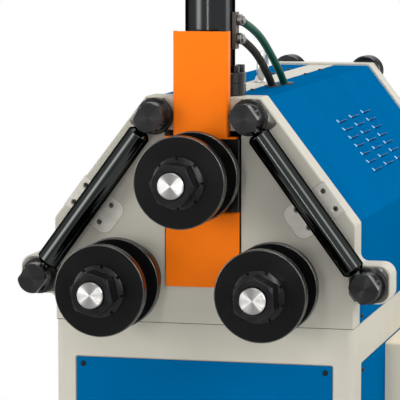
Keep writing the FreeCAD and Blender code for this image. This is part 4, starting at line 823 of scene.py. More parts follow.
@dataclass(frozen=True)
class Paint(Finish):
    """Sprayed paint with orange peel, worn edges and a little dust."""

    under: Colour = (0.16, 0.15, 0.14)
    cells: float = 220.0
    peel_depth: float = 0.00006
    edge: float = 0.0012
    wear: float = 0.35
    dust: float = 0.15
    coat: float = 0.3
    shine: float = 0.5
    seam: float = 0.0

    def dress(self, surface: Surface) -> None:
        """Tone the colour by mottle, wear and dust, and lay the peel on as relief.

        A seam's height above zero leaves a dark line of that height at the piece's foot, where it
        stands on the cabinet.

        Args:
            surface: the material's graph.
        """
        graph = surface.graph
        peel = surface.effect(Effect.PEEL, Cells=self.cells)
        worn = surface.mask(Effect.WEAR, Width=self.edge, Amount=self.wear)
        dusty = surface.mask(Effect.DUST, Amount=self.dust)
        mottle = graph.ramp(peel.outputs["Mottle"], 0.3, 0.7)
        toned = graph.mix(mottle, self.shade(0.90), self.colour)
        painted = graph.mix(worn, graph.mix(dusty, toned, SHOP_DUST), self.under)
        if self.seam > 0.0:
            parts = graph.node("SeparateXYZ")
            graph.join(surface.vector, parts, 0)
            foot = float(metres(np.zeros(3))[2])
            clear = graph.ramp(parts.outputs[2], foot + 0.6 * self.seam, foot + self.seam)
            painted = graph.mix(clear, self.under, painted)
        surface.colour(painted)
        smear = surface.patches(HAND_SMEARS)
        smeared = graph.math("MULTIPLY_ADD", smear, 0.10, self.roughness)
        surface.roughen(dusty, 0.4, smeared)
        surface.give(Specular_IOR_Level=self.shine, Coat_Weight=self.coat, Coat_Roughness=0.12)
        surface.relief(peel.outputs["Height"], self.peel_depth, self.edge)


@dataclass(frozen=True)
class Blued(Finish):
    """Blackened steel with oil smears, faint scratches and worn edges in bare steel colour, strong
    enough to act as painted edge highlights too.
    """

    edge: float = 0.0008
    bright: float = 0.35
    shine: float = 0.4
    scratch: float = 0.000012

    def dress(self, surface: Surface) -> None:
        """Vary tone and roughness by smears and lay fine lines on as relief.

        Args:
            surface: the material's graph.
        """
        graph = surface.graph
        grind = surface.effect(Effect.GRIND, Lines=700.0)
        smear = surface.patches(OIL_SMEARS)
        toned = graph.mix(smear, self.colour, self.shade(1.7, 0.004))
        # Worn edges, partly real wear and partly a painted highlight: the edges turn bare steel
        # colour whatever the light.
        worn = surface.mask(Effect.WEAR, Width=self.edge, Amount=self.bright)
        surface.colour(graph.mix(worn, toned, BARE_STEEL))
        surface.roughen(smear, 0.14, self.roughness)
        surface.give(Specular_IOR_Level=self.shine)
        surface.relief(grind.outputs["Height"], self.scratch, self.edge)


@dataclass(frozen=True)
class Oxide(Finish):
    """Blackened turned steel: lathe rings about a centre, oil smears and fans of reflections,
    stretched by the shader and also painted into the colour as dark wedges.
    """

    center: Point = (0.0, 0.0, 0.0)
    turn: Point = (QUARTER, 0.0, 0.0)
    pitch: float = 0.0011
    ring_depth: float = 0.000005
    pull: float = 0.35
    painted_fan_shade: float = 1.0
    shine: float = 0.3

    def dress(self, surface: Surface) -> None:
        """Turn the coordinates to the lathe's axis and stretch highlights across the rings.

        Args:
            surface: the material's graph.
        """
        graph = surface.graph
        mapping = graph.node("Mapping", vector_type="TEXTURE")
        mapping.inputs["Location"].default_value = tuple(metres(np.array(self.center)))
        mapping.inputs["Rotation"].default_value = self.turn
        graph.join(surface.vector, mapping, "Vector")
        lathe = surface.effects.trees[Effect.RINGS]
        rings = graph.group(lathe, Vector=mapping.outputs[0], Pitch=self.pitch)
        smear = surface.patches(OIL_SMEARS)
        tone = graph.math("MULTIPLY", smear, 0.5)
        tone = graph.math("MULTIPLY_ADD", rings.outputs["Tone"], 0.5, tone)
        toned = graph.mix(graph.ramp(tone, 0.3, 0.8), self.colour, self.shade(1.35, 0.001))
        # Painted reflection: the colour darkens in wedges of the bow-tie, standing in for the
        # reflections of lathe-turned steel.
        painted_fan = graph.ramp(rings.outputs["PaintedFan"], 0.55, 0.35)
        surface.colour(graph.mix(painted_fan, toned, self.shade(self.painted_fan_shade)))
        surface.roughen(tone, 0.10, self.roughness)
        tangent = graph.node("Tangent", direction_type="UV_MAP", uv_map="run")
        graph.join(tangent.outputs[0], surface.shader, "Tangent")
        surface.give(
            Specular_IOR_Level=self.shine, Anisotropic=self.pull, Anisotropic_Rotation=0.25
        )
        surface.relief(rings.outputs["Height"], self.ring_depth)


@dataclass(frozen=True)
class Gloss(Finish):
    """Polished black steel: a dark mirror with faint smears of oil."""

    rim: float = 0.25
    ripple: float = 0.000004

    def dress(self, surface: Surface) -> None:
        """Smears in the tone and the roughness, a very shallow ripple in the relief.

        Args:
            surface: the material's graph.
        """
        smear = surface.patches(POLISH_SMEARS)
        surface.colour(surface.graph.mix(smear, self.colour, self.shade(0.85)))
        surface.roughen(smear, 0.05, self.roughness)
        surface.give(Specular_Tint=(self.rim, self.rim, self.rim, 1.0))
        surface.relief(surface.graph.noise(surface.vector, 90.0, 2.0), self.ripple)


@dataclass(frozen=True)
class Metal(Finish):
    """Bare or plated metal with drawn-out grinding lines and stains."""

    lines: float = 900.0
    depth: float = 0.00002
    edge: float = 0.0006

    def dress(self, surface: Surface) -> None:
        """Lines as relief, with tone and roughness that follow them.

        Args:
            surface: the material's graph.
        """
        graph = surface.graph
        grind = surface.effect(Effect.GRIND, Lines=self.lines)
        stain = surface.patches(STAINS)
        tone = graph.math("MULTIPLY", stain, 0.4)
        tone = graph.math("MULTIPLY_ADD", grind.outputs["Tone"], 0.5, tone)
        surface.colour(graph.mix(tone, self.colour, self.shade(0.72)))
        surface.roughen(stain, 0.18, self.roughness)
        surface.relief(grind.outputs["Height"], self.depth, self.edge)


@dataclass(frozen=True)
class Cast(Finish):
    """Painted casting: a grainy skin with chips and grime."""

    edge: float = 0.002
    grain: float = 0.00025

    def dress(self, surface: Surface) -> None:
        """Coarse noise as relief, grime in the tone.

        Args:
            surface: the material's graph.
        """
        graph = surface.graph
        grime = surface.patches(GRIME)
        worn = surface.mask(Effect.WEAR, Width=self.edge, Amount=0.4)
        toned = graph.mix(grime, self.colour, self.shade(0.6))
        surface.colour(graph.mix(worn, toned, BARE_STEEL))
        surface.roughen(grime, 0.2, self.roughness)
        surface.relief(graph.noise(surface.vector, 260.0, 4.0, 0.6), self.grain, self.edge)


@dataclass(frozen=True)
class Rubber(Finish):
    """Rubber or plastic with a matt grain and scuffs."""

    grain: float = 700.0
    grain_depth: float = 0.00006

    def dress(self, surface: Surface) -> None:
        """Fine grain as relief, pale scuffs in the tone.

        Args:
            surface: the material's graph.
        """
        scuff = surface.patches(SCUFFS)
        surface.colour(surface.graph.mix(scuff, self.colour, self.shade(1.8, 0.015)))
        surface.roughen(scuff, 0.15, self.roughness)
        surface.relief(surface.graph.noise(surface.vector, self.grain, 3.0), self.grain_depth)


@dataclass(frozen=True)
class HoseSkin(Finish):
    """Hose cover whose rings or wrap lines follow the hose's own map."""

    wraps: float = 260.0
    wrap_depth: float = 0.0004
    # groove: share of the colour left in the grooves as painted shade.
    groove: float = 0.55
    shine: float = 0.15
    lift: float = 1.5

    def dress(self, surface: Surface) -> None:
        """A wave along the hose with a slight slant, as relief and as painted shade that darkens
        its grooves.

        Args:
            surface: the material's graph.
        """
        graph = surface.graph
        parts = graph.node("SeparateXYZ")
        graph.join(graph.node("UVMap", uv_map="run").outputs[0], parts, 0)
        wound = graph.math("MULTIPLY", parts.outputs[1], self.wraps)
        slanted = graph.math("ADD", parts.outputs[0], wound)
        wave = graph.math("SINE", graph.math("MULTIPLY", slanted, TAU))
        scuff = surface.patches(HOSE_SCUFFS)
        # Painted shade: the colour darkens in the wave's grooves to the groove share of itself.
        toned = graph.mix(graph.ramp(wave, -0.6, 0.8), self.shade(self.groove), self.colour)
        surface.colour(graph.mix(graph.math("MULTIPLY", scuff, 0.6), toned, self.shade(self.lift)))
        surface.roughen(scuff, 0.2, self.roughness)
        surface.give(Specular_IOR_Level=self.shine)
        surface.relief(wave, self.wrap_depth)


class Palette:
    """Every finish of the machine, made into a material once."""

    def __init__(self, effects: Effects) -> None:
        """Build the materials by name.

        Args:
            effects: the shared node groups.
        """
        matt = {"dust": 0.0, "coat": 0.0}
        cream = {"edge": 0.0015, "dust": 0.05, "wear": 0.25, "coat": 0.0, "shine": 0.15}
        hood = {"cells": 180.0, "dust": 0.0, "wear": 0.1}
        finishes: list[Finish] = [
            Paint("cream_paint", CREAM, 0.40, **cream),
            Paint("plate_cream", CREAM, 0.40, seam=0.0016, **cream),
            Paint(
                "blue_paint", (0.0, 0.114, 0.310), 0.36,
                cells=180.0, wear=0.12, shine=0.0, **matt,
            ),
            # Painted light on the louver hoods: a pale blue painted highlight on their front ends,
            # a dark blue painted shade on their lips and inner faces.
            Paint("hood_painted_highlight", (0.27, 0.62, 0.95), 0.30, coat=0.3, shine=0.5, **hood),
            Paint("hood_painted_shade", (0.0, 0.045, 0.21), 0.30, coat=0.0, shine=0.1, **hood),
            Paint(
                "orange_paint", (0.99, 0.200, 0.005), 0.34,
                edge=0.0008, wear=0.1, shine=0.08, **matt,
            ),
            Paint(
                "black_paint", (0.005, 0.005, 0.006), 0.22,
                peel_depth=0.00001, edge=0.001, dust=0.02, wear=0.1,
            ),
            Gloss("gloss_black", (0.036, 0.039, 0.038), 0.10, 1.0),
            Gloss("barrel_black", (0.032, 0.033, 0.034), 0.14, 1.0),
            Paint(
                "foot_taupe", (0.062, 0.055, 0.044), 0.30, peel_depth=0.00003, dust=0.0, wear=0.5
            ),
            Paint(
                "port_steel", (0.075, 0.060, 0.052), 0.45,
                edge=0.0008, dust=0.1, wear=0.4, coat=0.0,
            ),
            Paint(
                "box_paint", (0.76, 0.69, 0.53), 0.42,
                cells=420.0, peel_depth=0.00012, dust=0.05, wear=0.15, coat=0.0, shine=0.15,
            ),
            # Nuts, washers and screws: strong worn edges, partly real wear and partly painted edge
            # highlights.
            Blued("black_oxide", (0.004, 0.004, 0.005), 0.15, bright=0.6, shine=0.2),
            Metal("worn_edge", (0.11, 0.105, 0.10), 0.20, 0.9, lines=300.0),
            Metal("milled_steel", (0.34, 0.335, 0.32), 0.34, 0.75, depth=0.00004),
            Metal("zinc", (0.22, 0.215, 0.21), 0.30, 1.0, lines=300.0),
            Metal("bright_zinc", (0.66, 0.66, 0.64), 0.28, 0.7, lines=300.0),
            Metal("pad_steel", (0.58, 0.56, 0.51), 0.42, 0.35, lines=500.0, depth=0.00003),
            Metal("gear_steel", (0.34, 0.335, 0.33), 0.36, 1.0),
            Metal("polished_steel", (0.72, 0.72, 0.73), 0.22, 1.0),
            Cast("cast_paint", (0.085, 0.095, 0.10)),
            Rubber("black_rubber", (0.016, 0.016, 0.017), 0.55),
            Rubber("knob_plastic", (0.022, 0.022, 0.023), 0.42),
            # Deep painted shade in the green hose's grooves, light painted shade in the black
            # hose's.
            HoseSkin("green_rubber", (0.0, 0.085, 0.036), 0.34, wraps=170.0, groove=0.15, lift=2.2),
            HoseSkin(
                "black_hose_skin", (0.037, 0.031, 0.022),
                wraps=520.0, wrap_depth=0.00015, groove=0.7, shine=0.02,
            ),
        ]
        self.effects = effects
        self.made = {finish.name: finish.material(effects) for finish in finishes}

    def __getitem__(self, name: str) -> Material:
        """Material by name."""
        return self.made[name]

    def turned(
        self,
        name: str,
        center: Point,
        turn: Turn,
        bright: bool = False,
        pull: float = 0.75,
        shine: float = 0.14,
    ) -> str:
        """Blackened or bright steel whose rings run about a centre.

        Args:
            name: the new material's name.
            center: a point on the lathe's axis, in millimetres.
            turn: the axis.
            bright: bare steel in place of blackened.
            pull: how far highlights are drawn out across the blackened rings.
            shine: strength of the blackened steel's reflections.

        Returns:
            The material's name.
        """
        place = {"center": center, "turn": LATHE_TURNS[turn]}
        if bright:
            # Bright ends get painted reflection wedges, darkened to 0.45 of their colour.
            face = {"pull": 0.85, "painted_fan_shade": 0.45, "shine": 0.5}
            finish = Oxide(name, (0.60, 0.59, 0.585), 0.30, 1.0, **face, **place)
        else:
            finish = Oxide(name, (0.0035, 0.0035, 0.004), 0.13, pull=pull, shine=shine, **place)
        self.made[name] = finish.material(self.effects)
        return name


# Sub-assemblies


@dataclass
class Assembly:
    """A sub-assembly, which dresses its pieces from the palette."""

    palette: Palette

    def fit(
        self,
        piece: Piece,
        body: str,
        slot: str,
        finish: str,
        *nodes: str,
        others: tuple[str, ...] = (),
    ) -> None:
        """Give a piece its finish, hang it on its body, and let it stand for CAD nodes.

        Args:
            piece: the new object.
            body: CAD body that it rides on.
            slot: the record's material slot; not used.
            finish: name of its finish.
            nodes: CAD nodes that it replaces.
            others: finishes of the faces that its mesh numbers from one up.
        """
        marks = np.empty(len(piece.data.polygons), dtype=np.int32)
        piece.data.polygons.foreach_get("material_index", marks)
        piece.data.materials.clear()
        for name in (finish, *others):
            piece.data.materials.append(self.palette[name])
        piece.data.polygons.foreach_set("material_index", marks)
        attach(piece, body)
        if nodes:
            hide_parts(*nodes)
        log.info("%s rides on %s", piece.name, body)


@dataclass
class RollSet(Assembly):
    """One roll on its shaft: two discs, a core, lock washer, hexagon nut and threaded end."""

    side: str
    body: str
    x: float
    z: float
    nut_turn: float
    rear: list[Pair]
    disc_radius: float = 81.0
    disc_ease: float = 1.6
    core_radius: float = 52.0
    core_ease: float = 0.6
    front: float = -178.0
    disc: float = 20.0
    back: float = -60.0
    seat: float = 25.0
    shoulder: float = 42.0
    shoulder_back: float = -14.6
    journal: float = 32.0
    step: float = 1.0
    thread: float = 23.5
    thread_land: float = 0.3
    thread_depth: float = 1.4
    thread_pitch: float = 3.0
    thread_flank: float = 1.25
    thread_runout: float = 1.5
    thread_rows: int = 540
    thread_end: float = -238.0
    end_chamfer: float = 2.2
    washer_radius: float = 46.0
    washer_front: float = -185.0
    slot_count: int = 8
    slot_half: float = 2.9
    slot_flank: float = 0.5
    slot_depth: float = 5.0
    nut_front: float = -231.0
    nut_flats: float = 70.0
    nut_corner: float = 0.5
    nut_face: float = 0.6
    nut_lead: float = 1.6
    nut_rows: tuple[float, ...] = (0.0, 0.15, 0.6, 1.2, 1.9, 2.8, 3.8, 4.8)
    nut_slope: float = 0.92 / math.tan(math.radians(30.0))
    fine: int = 720

    def spindle(self) -> Spindle:
        """Axis of the roll."""
        return Spindle((self.x, 0.0, self.z))

    def discs(self) -> Piece:
        """Front and rear discs, whose eased rims are worn bright.

        Returns:
            Both discs as one object.
        """
        draft = Draft()
        for low in (self.front, self.back - self.disc):
            high = low + self.disc
            profile = ring_section(low, high, self.disc_radius, self.seat, self.disc_ease)
            depth = self.disc_radius - profile[:, 1]
            rim = (depth < self.disc_ease + HAIR) & (depth > HAIR)
            draft.turned(profile, self.spindle(), 160, rim.astype(float))
        return draft.build(f"{self.side}_roll_disc_pair")

    def core(self) -> Piece:
        """Ring between the discs.

        Returns:
            The ring.
        """
        draft = Draft()
        low = self.front + self.disc
        high = self.back - self.disc
        section = ring_section(low, high, self.core_radius, self.seat, self.core_ease)
        draft.turned(section, self.spindle(), 128)
        return draft.build(f"{self.side}_roll_core_ring")

    def shaft(self) -> Piece:
        """Shaft: end face, helical thread, seat, shoulder and journal.

        The thread's radius is its crest less a triangle wave of (along / pitch - angle / turn).

        Returns:
            The shaft.
        """
        draft = Draft()
        spindle = self.spindle()
        end = self.thread_end
        start = end + self.end_chamfer
        stop = self.front + self.step
        crest = self.thread - self.thread_land
        face = [(end, 0.0), (end, self.thread - self.end_chamfer), (start, crest)]
        draft.turned(eased(face, 0.25, 2), spindle, 128)
        rows = np.linspace(start, stop, self.thread_rows)
        along, turn = np.meshgrid(rows, circle(96), indexing="ij")
        phase = (along / self.thread_pitch - turn / TAU) % 1.0
        wave = np.clip(np.abs(2.0 * phase - 1.0) * self.thread_flank, 0.0, 1.0)
        fade = np.clip((along - start) / self.thread_runout, 0.0, 1.0)
        radius = crest - self.thread_depth * fade * (1.0 - wave)
        draft.round(spindle, along, radius, turn, np.ones_like(radius))
        rest = [(stop, 0.0), (stop, self.seat), (self.back, self.seat), (self.back, self.shoulder)]
        rest += [(self.shoulder_back, self.shoulder), (self.shoulder_back, self.journal)]
        draft.turned(eased(rest + self.rear, 0.8, 3), spindle, 96)
        return draft.build(f"{self.side}_shaft_turned", 28.0)

    def hexagon(self, draft: Draft) -> None:
        """Add the nut, whose front corners a cone cuts.

        Its radius is the lesser of the hexagon, flat / cos(angle to the nearest flat) less a
        rounding at the corners, and the cone.

        Args:
            draft: the mesh that takes it.
        """
        flat = self.nut_flats / 2.0
        front = self.nut_front
        back = self.washer_front
        angle = circle(self.fine)
        local = off_flat(angle + math.radians(self.nut_turn))
        hexagon = flat / np.cos(local) - self.nut_corner * (np.abs(local) / HALF_FLAT) ** 14
        lift = np.array(self.nut_rows)
        cone = flat - self.nut_face + lift * self.nut_slope
        cut = [np.minimum(hexagon, value) for value in cone]
        bore = np.full_like(hexagon, self.thread + HAIR)
        face = np.minimum(cut[0], flat - 2.0 * self.nut_face)
        rows = [bore, bore + self.nut_lead, face, *cut, hexagon, hexagon, bore]
        places = [front + self.nut_lead, front, front, *(front + lift), back - 1.0, back, back]
        draft.round(self.spindle(), np.array(places)[:, None], np.array(rows), angle)

    def washer(self, draft: Draft) -> None:
        """Add the lock washer, whose radius drops at each of its slots.

        Args:
            draft: the mesh that takes it.
        """
        soft, softer = 0.25, 0.9
        angle = circle(self.fine)
        pitch = TAU / self.slot_count
        off_slot = np.abs((angle + math.radians(self.nut_turn)) % pitch - pitch / 2.0)
        inside = (self.slot_half - off_slot * self.washer_radius) / self.slot_flank
        rim = self.washer_radius - np.clip(inside, 0.0, 1.0) * self.slot_depth
        inner = np.full_like(rim, self.thread + HAIR)
        low, high = self.washer_front, self.front
        rows = [inner, rim - softer, rim - soft, rim, rim, rim - soft, rim - softer, inner]
        places = [low, low, low + soft, low + softer, high - softer, high - soft, high, high]
        draft.round(self.spindle(), np.array(places)[:, None], np.array(rows), angle)

    def nut(self) -> Piece:
        """Hexagon nut and slotted lock washer.

        Returns:
            Both as one object.
        """
        draft = Draft()
        self.hexagon(draft)
        self.washer(draft)
        return draft.build(f"{self.side}_nut_and_washer", 24.0)

    def build(self) -> None:
        """Make the pieces, dress them and let them stand for their nodes."""
        side, body, oxide = self.side, self.body, "black_oxide"
        center = (self.x, 0.0, self.z)
        black = self.palette.turned(f"{side}_black_rings", center, Turn.ALONG_Y)
        bright = self.palette.turned(f"{side}_bright_rings", center, Turn.ALONG_Y, True)
        self.fit(self.discs(), body, oxide, black, f"{side}_roll_discs", others=("worn_edge",))
        self.fit(self.core(), body, oxide, black, f"{side}_roll_core")
        shaft = self.shaft()
        self.fit(shaft, body, "polished_steel", bright, f"{side}_roll_shaft", others=(oxide,))
        self.fit(self.nut(), body, oxide, oxide, f"{side}_shaft_nut")


@dataclass
class Cylinder(Assembly):
    """Press cylinder: grooved flange, barrel, end cap and socket head bolts."""

    y: float = 55.0
    flange: Pair = (409.0, 451.0)
    flange_radius: float = 64.5
    flange_bore: float = 22.6
    groove: Pair = (20.0, 23.0)
    groove_depth: float = 1.5
    bevel: float = 2.0
    barrel: Pair = (451.0, 689.0)
    barrel_radius: float = 45.0
    bore: float = 35.0
    cap: Pair = (689.0, 715.0)
    cap_radius: float = 52.0
    spigot: float = 8.0
    spigot_gap: float = 0.3
    plug: tuple[Pair, ...] = ((0.0, 15.0), (10.0, 15.6), (12.0, 14.0))
    bolt_ring: float = 55.0
    bolt_count: int = 8
    bolt: SocketHead = SocketHead(8.0, 12.0, 4.0)

    def spindle(self) -> Spindle:
        """Axis of the cylinder."""
        return Spindle((0.0, self.y, 0.0), *Turn.ALONG_Z.value)

    def flange_piece(self) -> Piece:
        """Flange with its turned groove and a bevel.

        Returns:
            The flange.
        """
        low, high = self.flange
        outer, bore = self.flange_radius, self.flange_bore
        inner = outer - self.groove_depth
        start, stop = (low + step for step in self.groove)
        seam = ((low + high) / 2.0, bore)
        corners = [
            seam, (low, bore), (low, outer), (start, outer), (start, inner), (stop, inner),
            (stop, outer), (high - self.bevel, outer), (high, outer - self.bevel), (high, bore),
            seam,
        ]
        draft = Draft()
        draft.turned(eased(corners, 0.5, 3), self.spindle(), 144)
        return draft.build("cylinder_flange_turned", 28.0)

    def barrel_piece(self) -> Piece:
        """Tube of the cylinder.

        Returns:
            The tube.
        """
        draft = Draft()
        section = ring_section(*self.barrel, self.barrel_radius, self.bore, 0.4, 2)
        draft.turned(section, self.spindle(), 128)
        return draft.build("cylinder_tube")

    def cap_piece(self) -> Piece:
        """End cap with its spigot and hexagon plug.

        Returns:
            The cap.
        """
        low, high = self.cap
        outer = self.cap_radius
        inner = self.bore - self.spigot_gap
        foot = low - self.spigot
        corners = [
            (foot, 0.0), (foot, inner), (low, inner), (low, outer),
            (high - self.bevel, outer), (high, outer - self.bevel), (high, 0.0),
        ]
        plug = [(high + lift, reach) for lift, reach in self.plug]
        plug = [(plug[0][0], 0.0), *plug, (plug[-1][0], 0.0)]
        draft = Draft()
        draft.turned(eased(corners, 0.5, 3), self.spindle(), 128)
        draft.turned(eased(plug, 0.3, 2), self.spindle(), 6)
        return draft.build("cylinder_end_cap", 28.0)

    def bolts_piece(self) -> Piece:
        """Ring of socket head bolts.

        Returns:
            The bolts as one object.
        """
        draft = Draft()
        for around in TAU * (np.arange(self.bolt_count) + 0.5) / self.bolt_count:
            x = self.bolt_ring * math.cos(around)
            y = self.y + self.bolt_ring * math.sin(around)
            self.bolt.add(draft, Spindle((x, y, self.flange[1]), *Turn.ALONG_Z.value))
        return draft.build("cylinder_flange_screws", 28.0)

    def build(self) -> None:
        """Make and dress the cylinder."""
        center = (0.0, self.y, 0.0)
        black = self.palette.turned("cylinder_black_rings", center, Turn.ALONG_Z)
        self.fit(self.flange_piece(), "frame", "black_paint", black, "cylinder_flange")
        self.fit(self.barrel_piece(), "frame", "black_paint", "barrel_black", "cylinder_barrel")
        self.fit(self.cap_piece(), "frame", "black_paint", black, "cylinder_cap")
        self.fit(self.bolts_piece(), "frame", "black_oxide", "black_oxide", "flange_bolts")


@dataclass
class GuideBars(Assembly):
    """Slanted round bars between the posts, with their necked ends."""

    depth: float = -33.0
    radius: float = 21.0
    neck: float = 8.0
    neck_end: float = 7.8
    post: float = 27.0
    gap: float = 5.5
    chamfer: float = 6.0

    def bar(self, draft: Draft, side: float) -> None:
        """Add one bar's turned surface.

        Args:
            draft: the mesh that takes it.
            side: one on the right, minus one on the left.
        """
        top, foot = (
            np.array([side * place[0], self.depth, place[1]]) for place in (UPPER_POST, LOWER_POST)
        )
        run = foot - top
        length = float(np.linalg.norm(run))
        half = length / 2.0
        body = half - self.post - self.gap
        tip = half - self.post + self.neck_end
        full = self.radius
        small = full - self.chamfer
        end = [(tip, 0.0), (tip, self.neck), (body, self.neck), (body, small)]
        end.append((body - self.chamfer, full))
        corners = [(-along, reach) for along, reach in end] + end[::-1]
        middle = tuple((top + foot) / 2.0)
        spindle = Spindle(middle, tuple(run / length), (0.0, 1.0, 0.0))
        draft.turned(eased(corners, 1.6, 4), spindle, 96)

    def build(self) -> None:
        """Make and dress the bars."""
        draft = Draft()
        for side, _ in SIDES:
            self.bar(draft, side)
        self.fit(draft.build("slanted_bars"), "frame", "black_paint", "gloss_black", "guide_bars")


@dataclass
class GuidePosts(Assembly):
    """Four round posts with milled flats and collars on square feet, and the studs behind them.

    The limits are lines that the feet stay inside: each line's unit normal, in the right side's
    (x, z), and its distance from the post.
    """

    front: float = -60.0
    radius: float = 27.0
    face_radius: float = 12.0
    face_chamfer: float = 2.0
    fine_land: float = 0.2
    collar: float = 33.0
    collar_front: float = -16.0
    foot_face: float = -4.0
    foot_half: float = 39.0
    foot_corner: float = 14.0
    foot_steps: tuple[Pair, ...] = ((0.8, 0.0), (0.1, 0.2), (0.0, 0.9), (0.0, 4.0))
    upper_limits: tuple[tuple[Pair, float], ...] = (
        ((0.0, 1.0), 31.5), ((0.7936, 0.6085), 32.88), ((-1.0, 0.0), 16.5), ((0.0, -1.0), 30.0),
    )
    lower_limits: tuple[tuple[Pair, float], ...] = (
        ((-1.0, 0.0), 36.0), ((0.0, 1.0), 32.5), ((0.0, -1.0), 30.5),
    )
    ear_half: float = 34.5
    ear_rise: Pair = (32.5, 30.5)
    ear_corner: float = 18.5
    ear_start: float = -24.0
    aside: float = 0.001
    flat: float = 21.2
    flat_end: float = -52.0
    flat_flank: float = 0.7
    bright_start: float = 0.5
    bright_depth: float = 2.3
    bright_share: float = 0.95
    least_cut: float = 0.02
    stud: float = 12.0
    stud_chamfer: float = 1.5
    stud_start: float = -2.0
    stud_ends: Pair = (26.0, 79.0)

    def across(self, side: float) -> Point:
        """Unit direction square to the bar, in the plate's plane.

        Args:
            side: one on the right, minus one on the left.

        Returns:
            The direction.
        """
        run = np.subtract(LOWER_POST, UPPER_POST)
        run /= np.linalg.norm(run)
        return (side * -run[1], 0.0, run[0])

    def profile(self) -> Array:
        """Side of a post from its front face to its foot, with many steps where it is milled.

        Returns:
            Pairs (along, radius).
        """
        front, full, land = self.front, self.radius, self.fine_land
        shoulder = full - self.face_chamfer
        step = front + self.face_chamfer
        low = self.collar_front
        foot = self.foot_face
        start = [(front, 0.0), (front, self.face_radius), (front, shoulder - land)]
        start += [(front, shoulder), (step, full), (step + land, full)]
        middle = [(y, full) for y in np.linspace(step + 0.6, low - 1.0, 90)]
        bevel = (low + self.face_chamfer, self.collar)
        rim = [(low, full), (low, self.collar - self.face_chamfer), bevel, (foot, self.collar)]
        last = [(foot, self.collar), (foot, 0.0)]
        return np.concatenate([start, middle, eased(rim, 0.5, 3), last])

    def post(self, draft: Draft, side: float, place: Pair, stud_end: float) -> None:
        """Add one post and its stud.

        The radius drops to flat / cos(angle) inside the milled scallops, whose edges are bright.

        Args:
            draft: the mesh that takes it.
            side: one on the right, minus one on the left.
            place: its (x, z).
            stud_end: back end of its stud.
        """
        base = (side * place[0], 0.0, place[1])
        spindle = Spindle(base, Turn.ALONG_Y.value[0], self.across(side))
        full = self.radius
        profile = self.profile()
        y, turn = np.meshgrid(profile[:, 0], circle(240), indexing="ij")
        reach = np.broadcast_to(profile[:, 1:], y.shape)
        local = np.abs((turn + QUARTER) % math.pi - QUARTER)
        half_width = math.sqrt(full ** 2 - self.flat ** 2)
        away = np.hypot(np.maximum(y - self.flat_end, 0.0), reach * np.sin(local))
        inside = np.clip((half_width - away) / self.flat_flank, 0.0, 1.0)
        cut = np.minimum(reach, self.flat / np.maximum(np.cos(local), 0.05))
        milled = reach + inside * (cut - reach)
        side_only = (y > self.front + self.bright_start) & (reach > full - self.bright_depth)
        bright = (inside > self.bright_share) & (milled < reach - self.least_cut) & side_only
        draft.round(spindle, y, milled, turn, bright.astype(float))
        start, bevel = self.stud_start, self.stud_chamfer
        stud = [(start, 0.0), (start, self.stud), (stud_end - bevel, self.stud)]
        stud += [(stud_end, self.stud - bevel), (stud_end, 0.0)]
        draft.turned(np.array(stud), spindle, 64, 2.0)

    def foot(self, draft: Draft, side: float, place: Pair) -> None:
        """Add one foot: a rounded square along the bar, cut back to stay on the plate.

        Its edge is the least, over the square and the plate's edges, of how far a ray from the
        post's axis runs: distance / cos(angle to the edge's normal), and a corner's arc between.

        Args:
            draft: the mesh that takes it.
            side: one on the right, minus one on the left.
            place: its (x, z).
        """
        angle = circle(480)
        x = np.cos(angle)
        z = np.sin(angle)
        n = self.across(1.0)
        half = np.full_like(x, self.foot_half)
        across, along = x * n[0] + z * n[2], x * n[2] - z * n[0]
        reach = box_reach(across, along, self.foot_half, half, self.foot_corner)
        limits = self.upper_limits
        if place == LOWER_POST:
            limits = self.lower_limits
            half = np.where(z > 0.0, *self.ear_rise)
            ear = box_reach(x, z, self.ear_half, half, self.ear_corner)
            over = (x > 0.0) | (x * half / np.maximum(np.abs(z), 1e-6) > self.ear_start)
            reach = np.where(over, np.minimum(reach, ear), reach)
        for normal, distance in limits:
            toward = x * normal[0] + z * normal[1]
            limit = distance / np.maximum(toward, self.aside)
            reach = np.where(toward > self.aside, np.minimum(reach, limit), reach)
        face = self.foot_face
        steps = self.foot_steps
        rows = [reach * 0.0, *(reach - inset for inset, _ in steps), reach * 0.0]
        depth = np.array([face, *(face + drop for _, drop in steps), 0.0])
        base = (side * place[0], 0.0, place[1])
        spindle = Spindle(base, Turn.ALONG_Y.value[0], (side, 0.0, 0.0))
        draft.round(spindle, depth[:, None], np.array(rows), -side * angle)

    def build(self) -> None:
        """Make each post with its rings about its own axis, and all feet."""
        feet = Draft()
        posts = (("upper", UPPER_POST), ("lower", LOWER_POST))
        for side, name in SIDES:
            for (level, place), stud_end in zip(posts, self.stud_ends):
                draft = Draft()
                self.post(draft, side, place, stud_end)
                self.foot(feet, side, place)
                center = (side * place[0], 0.0, place[1])
                rings = self.palette.turned(
                    f"{name}_{level}_post_rings", center, Turn.ALONG_Y, pull=0.85, shine=0.4
                )
                piece = draft.build(f"{name}_{level}_post_turned", 34.0)
                others = ("milled_steel", "black_oxide")
                self.fit(piece, "frame", "black_oxide", rings, "guide_posts", others=others)
        pads = feet.build("post_feet", 40.0)
        self.fit(pads, "frame", "black_oxide", "foot_taupe", "guide_posts")


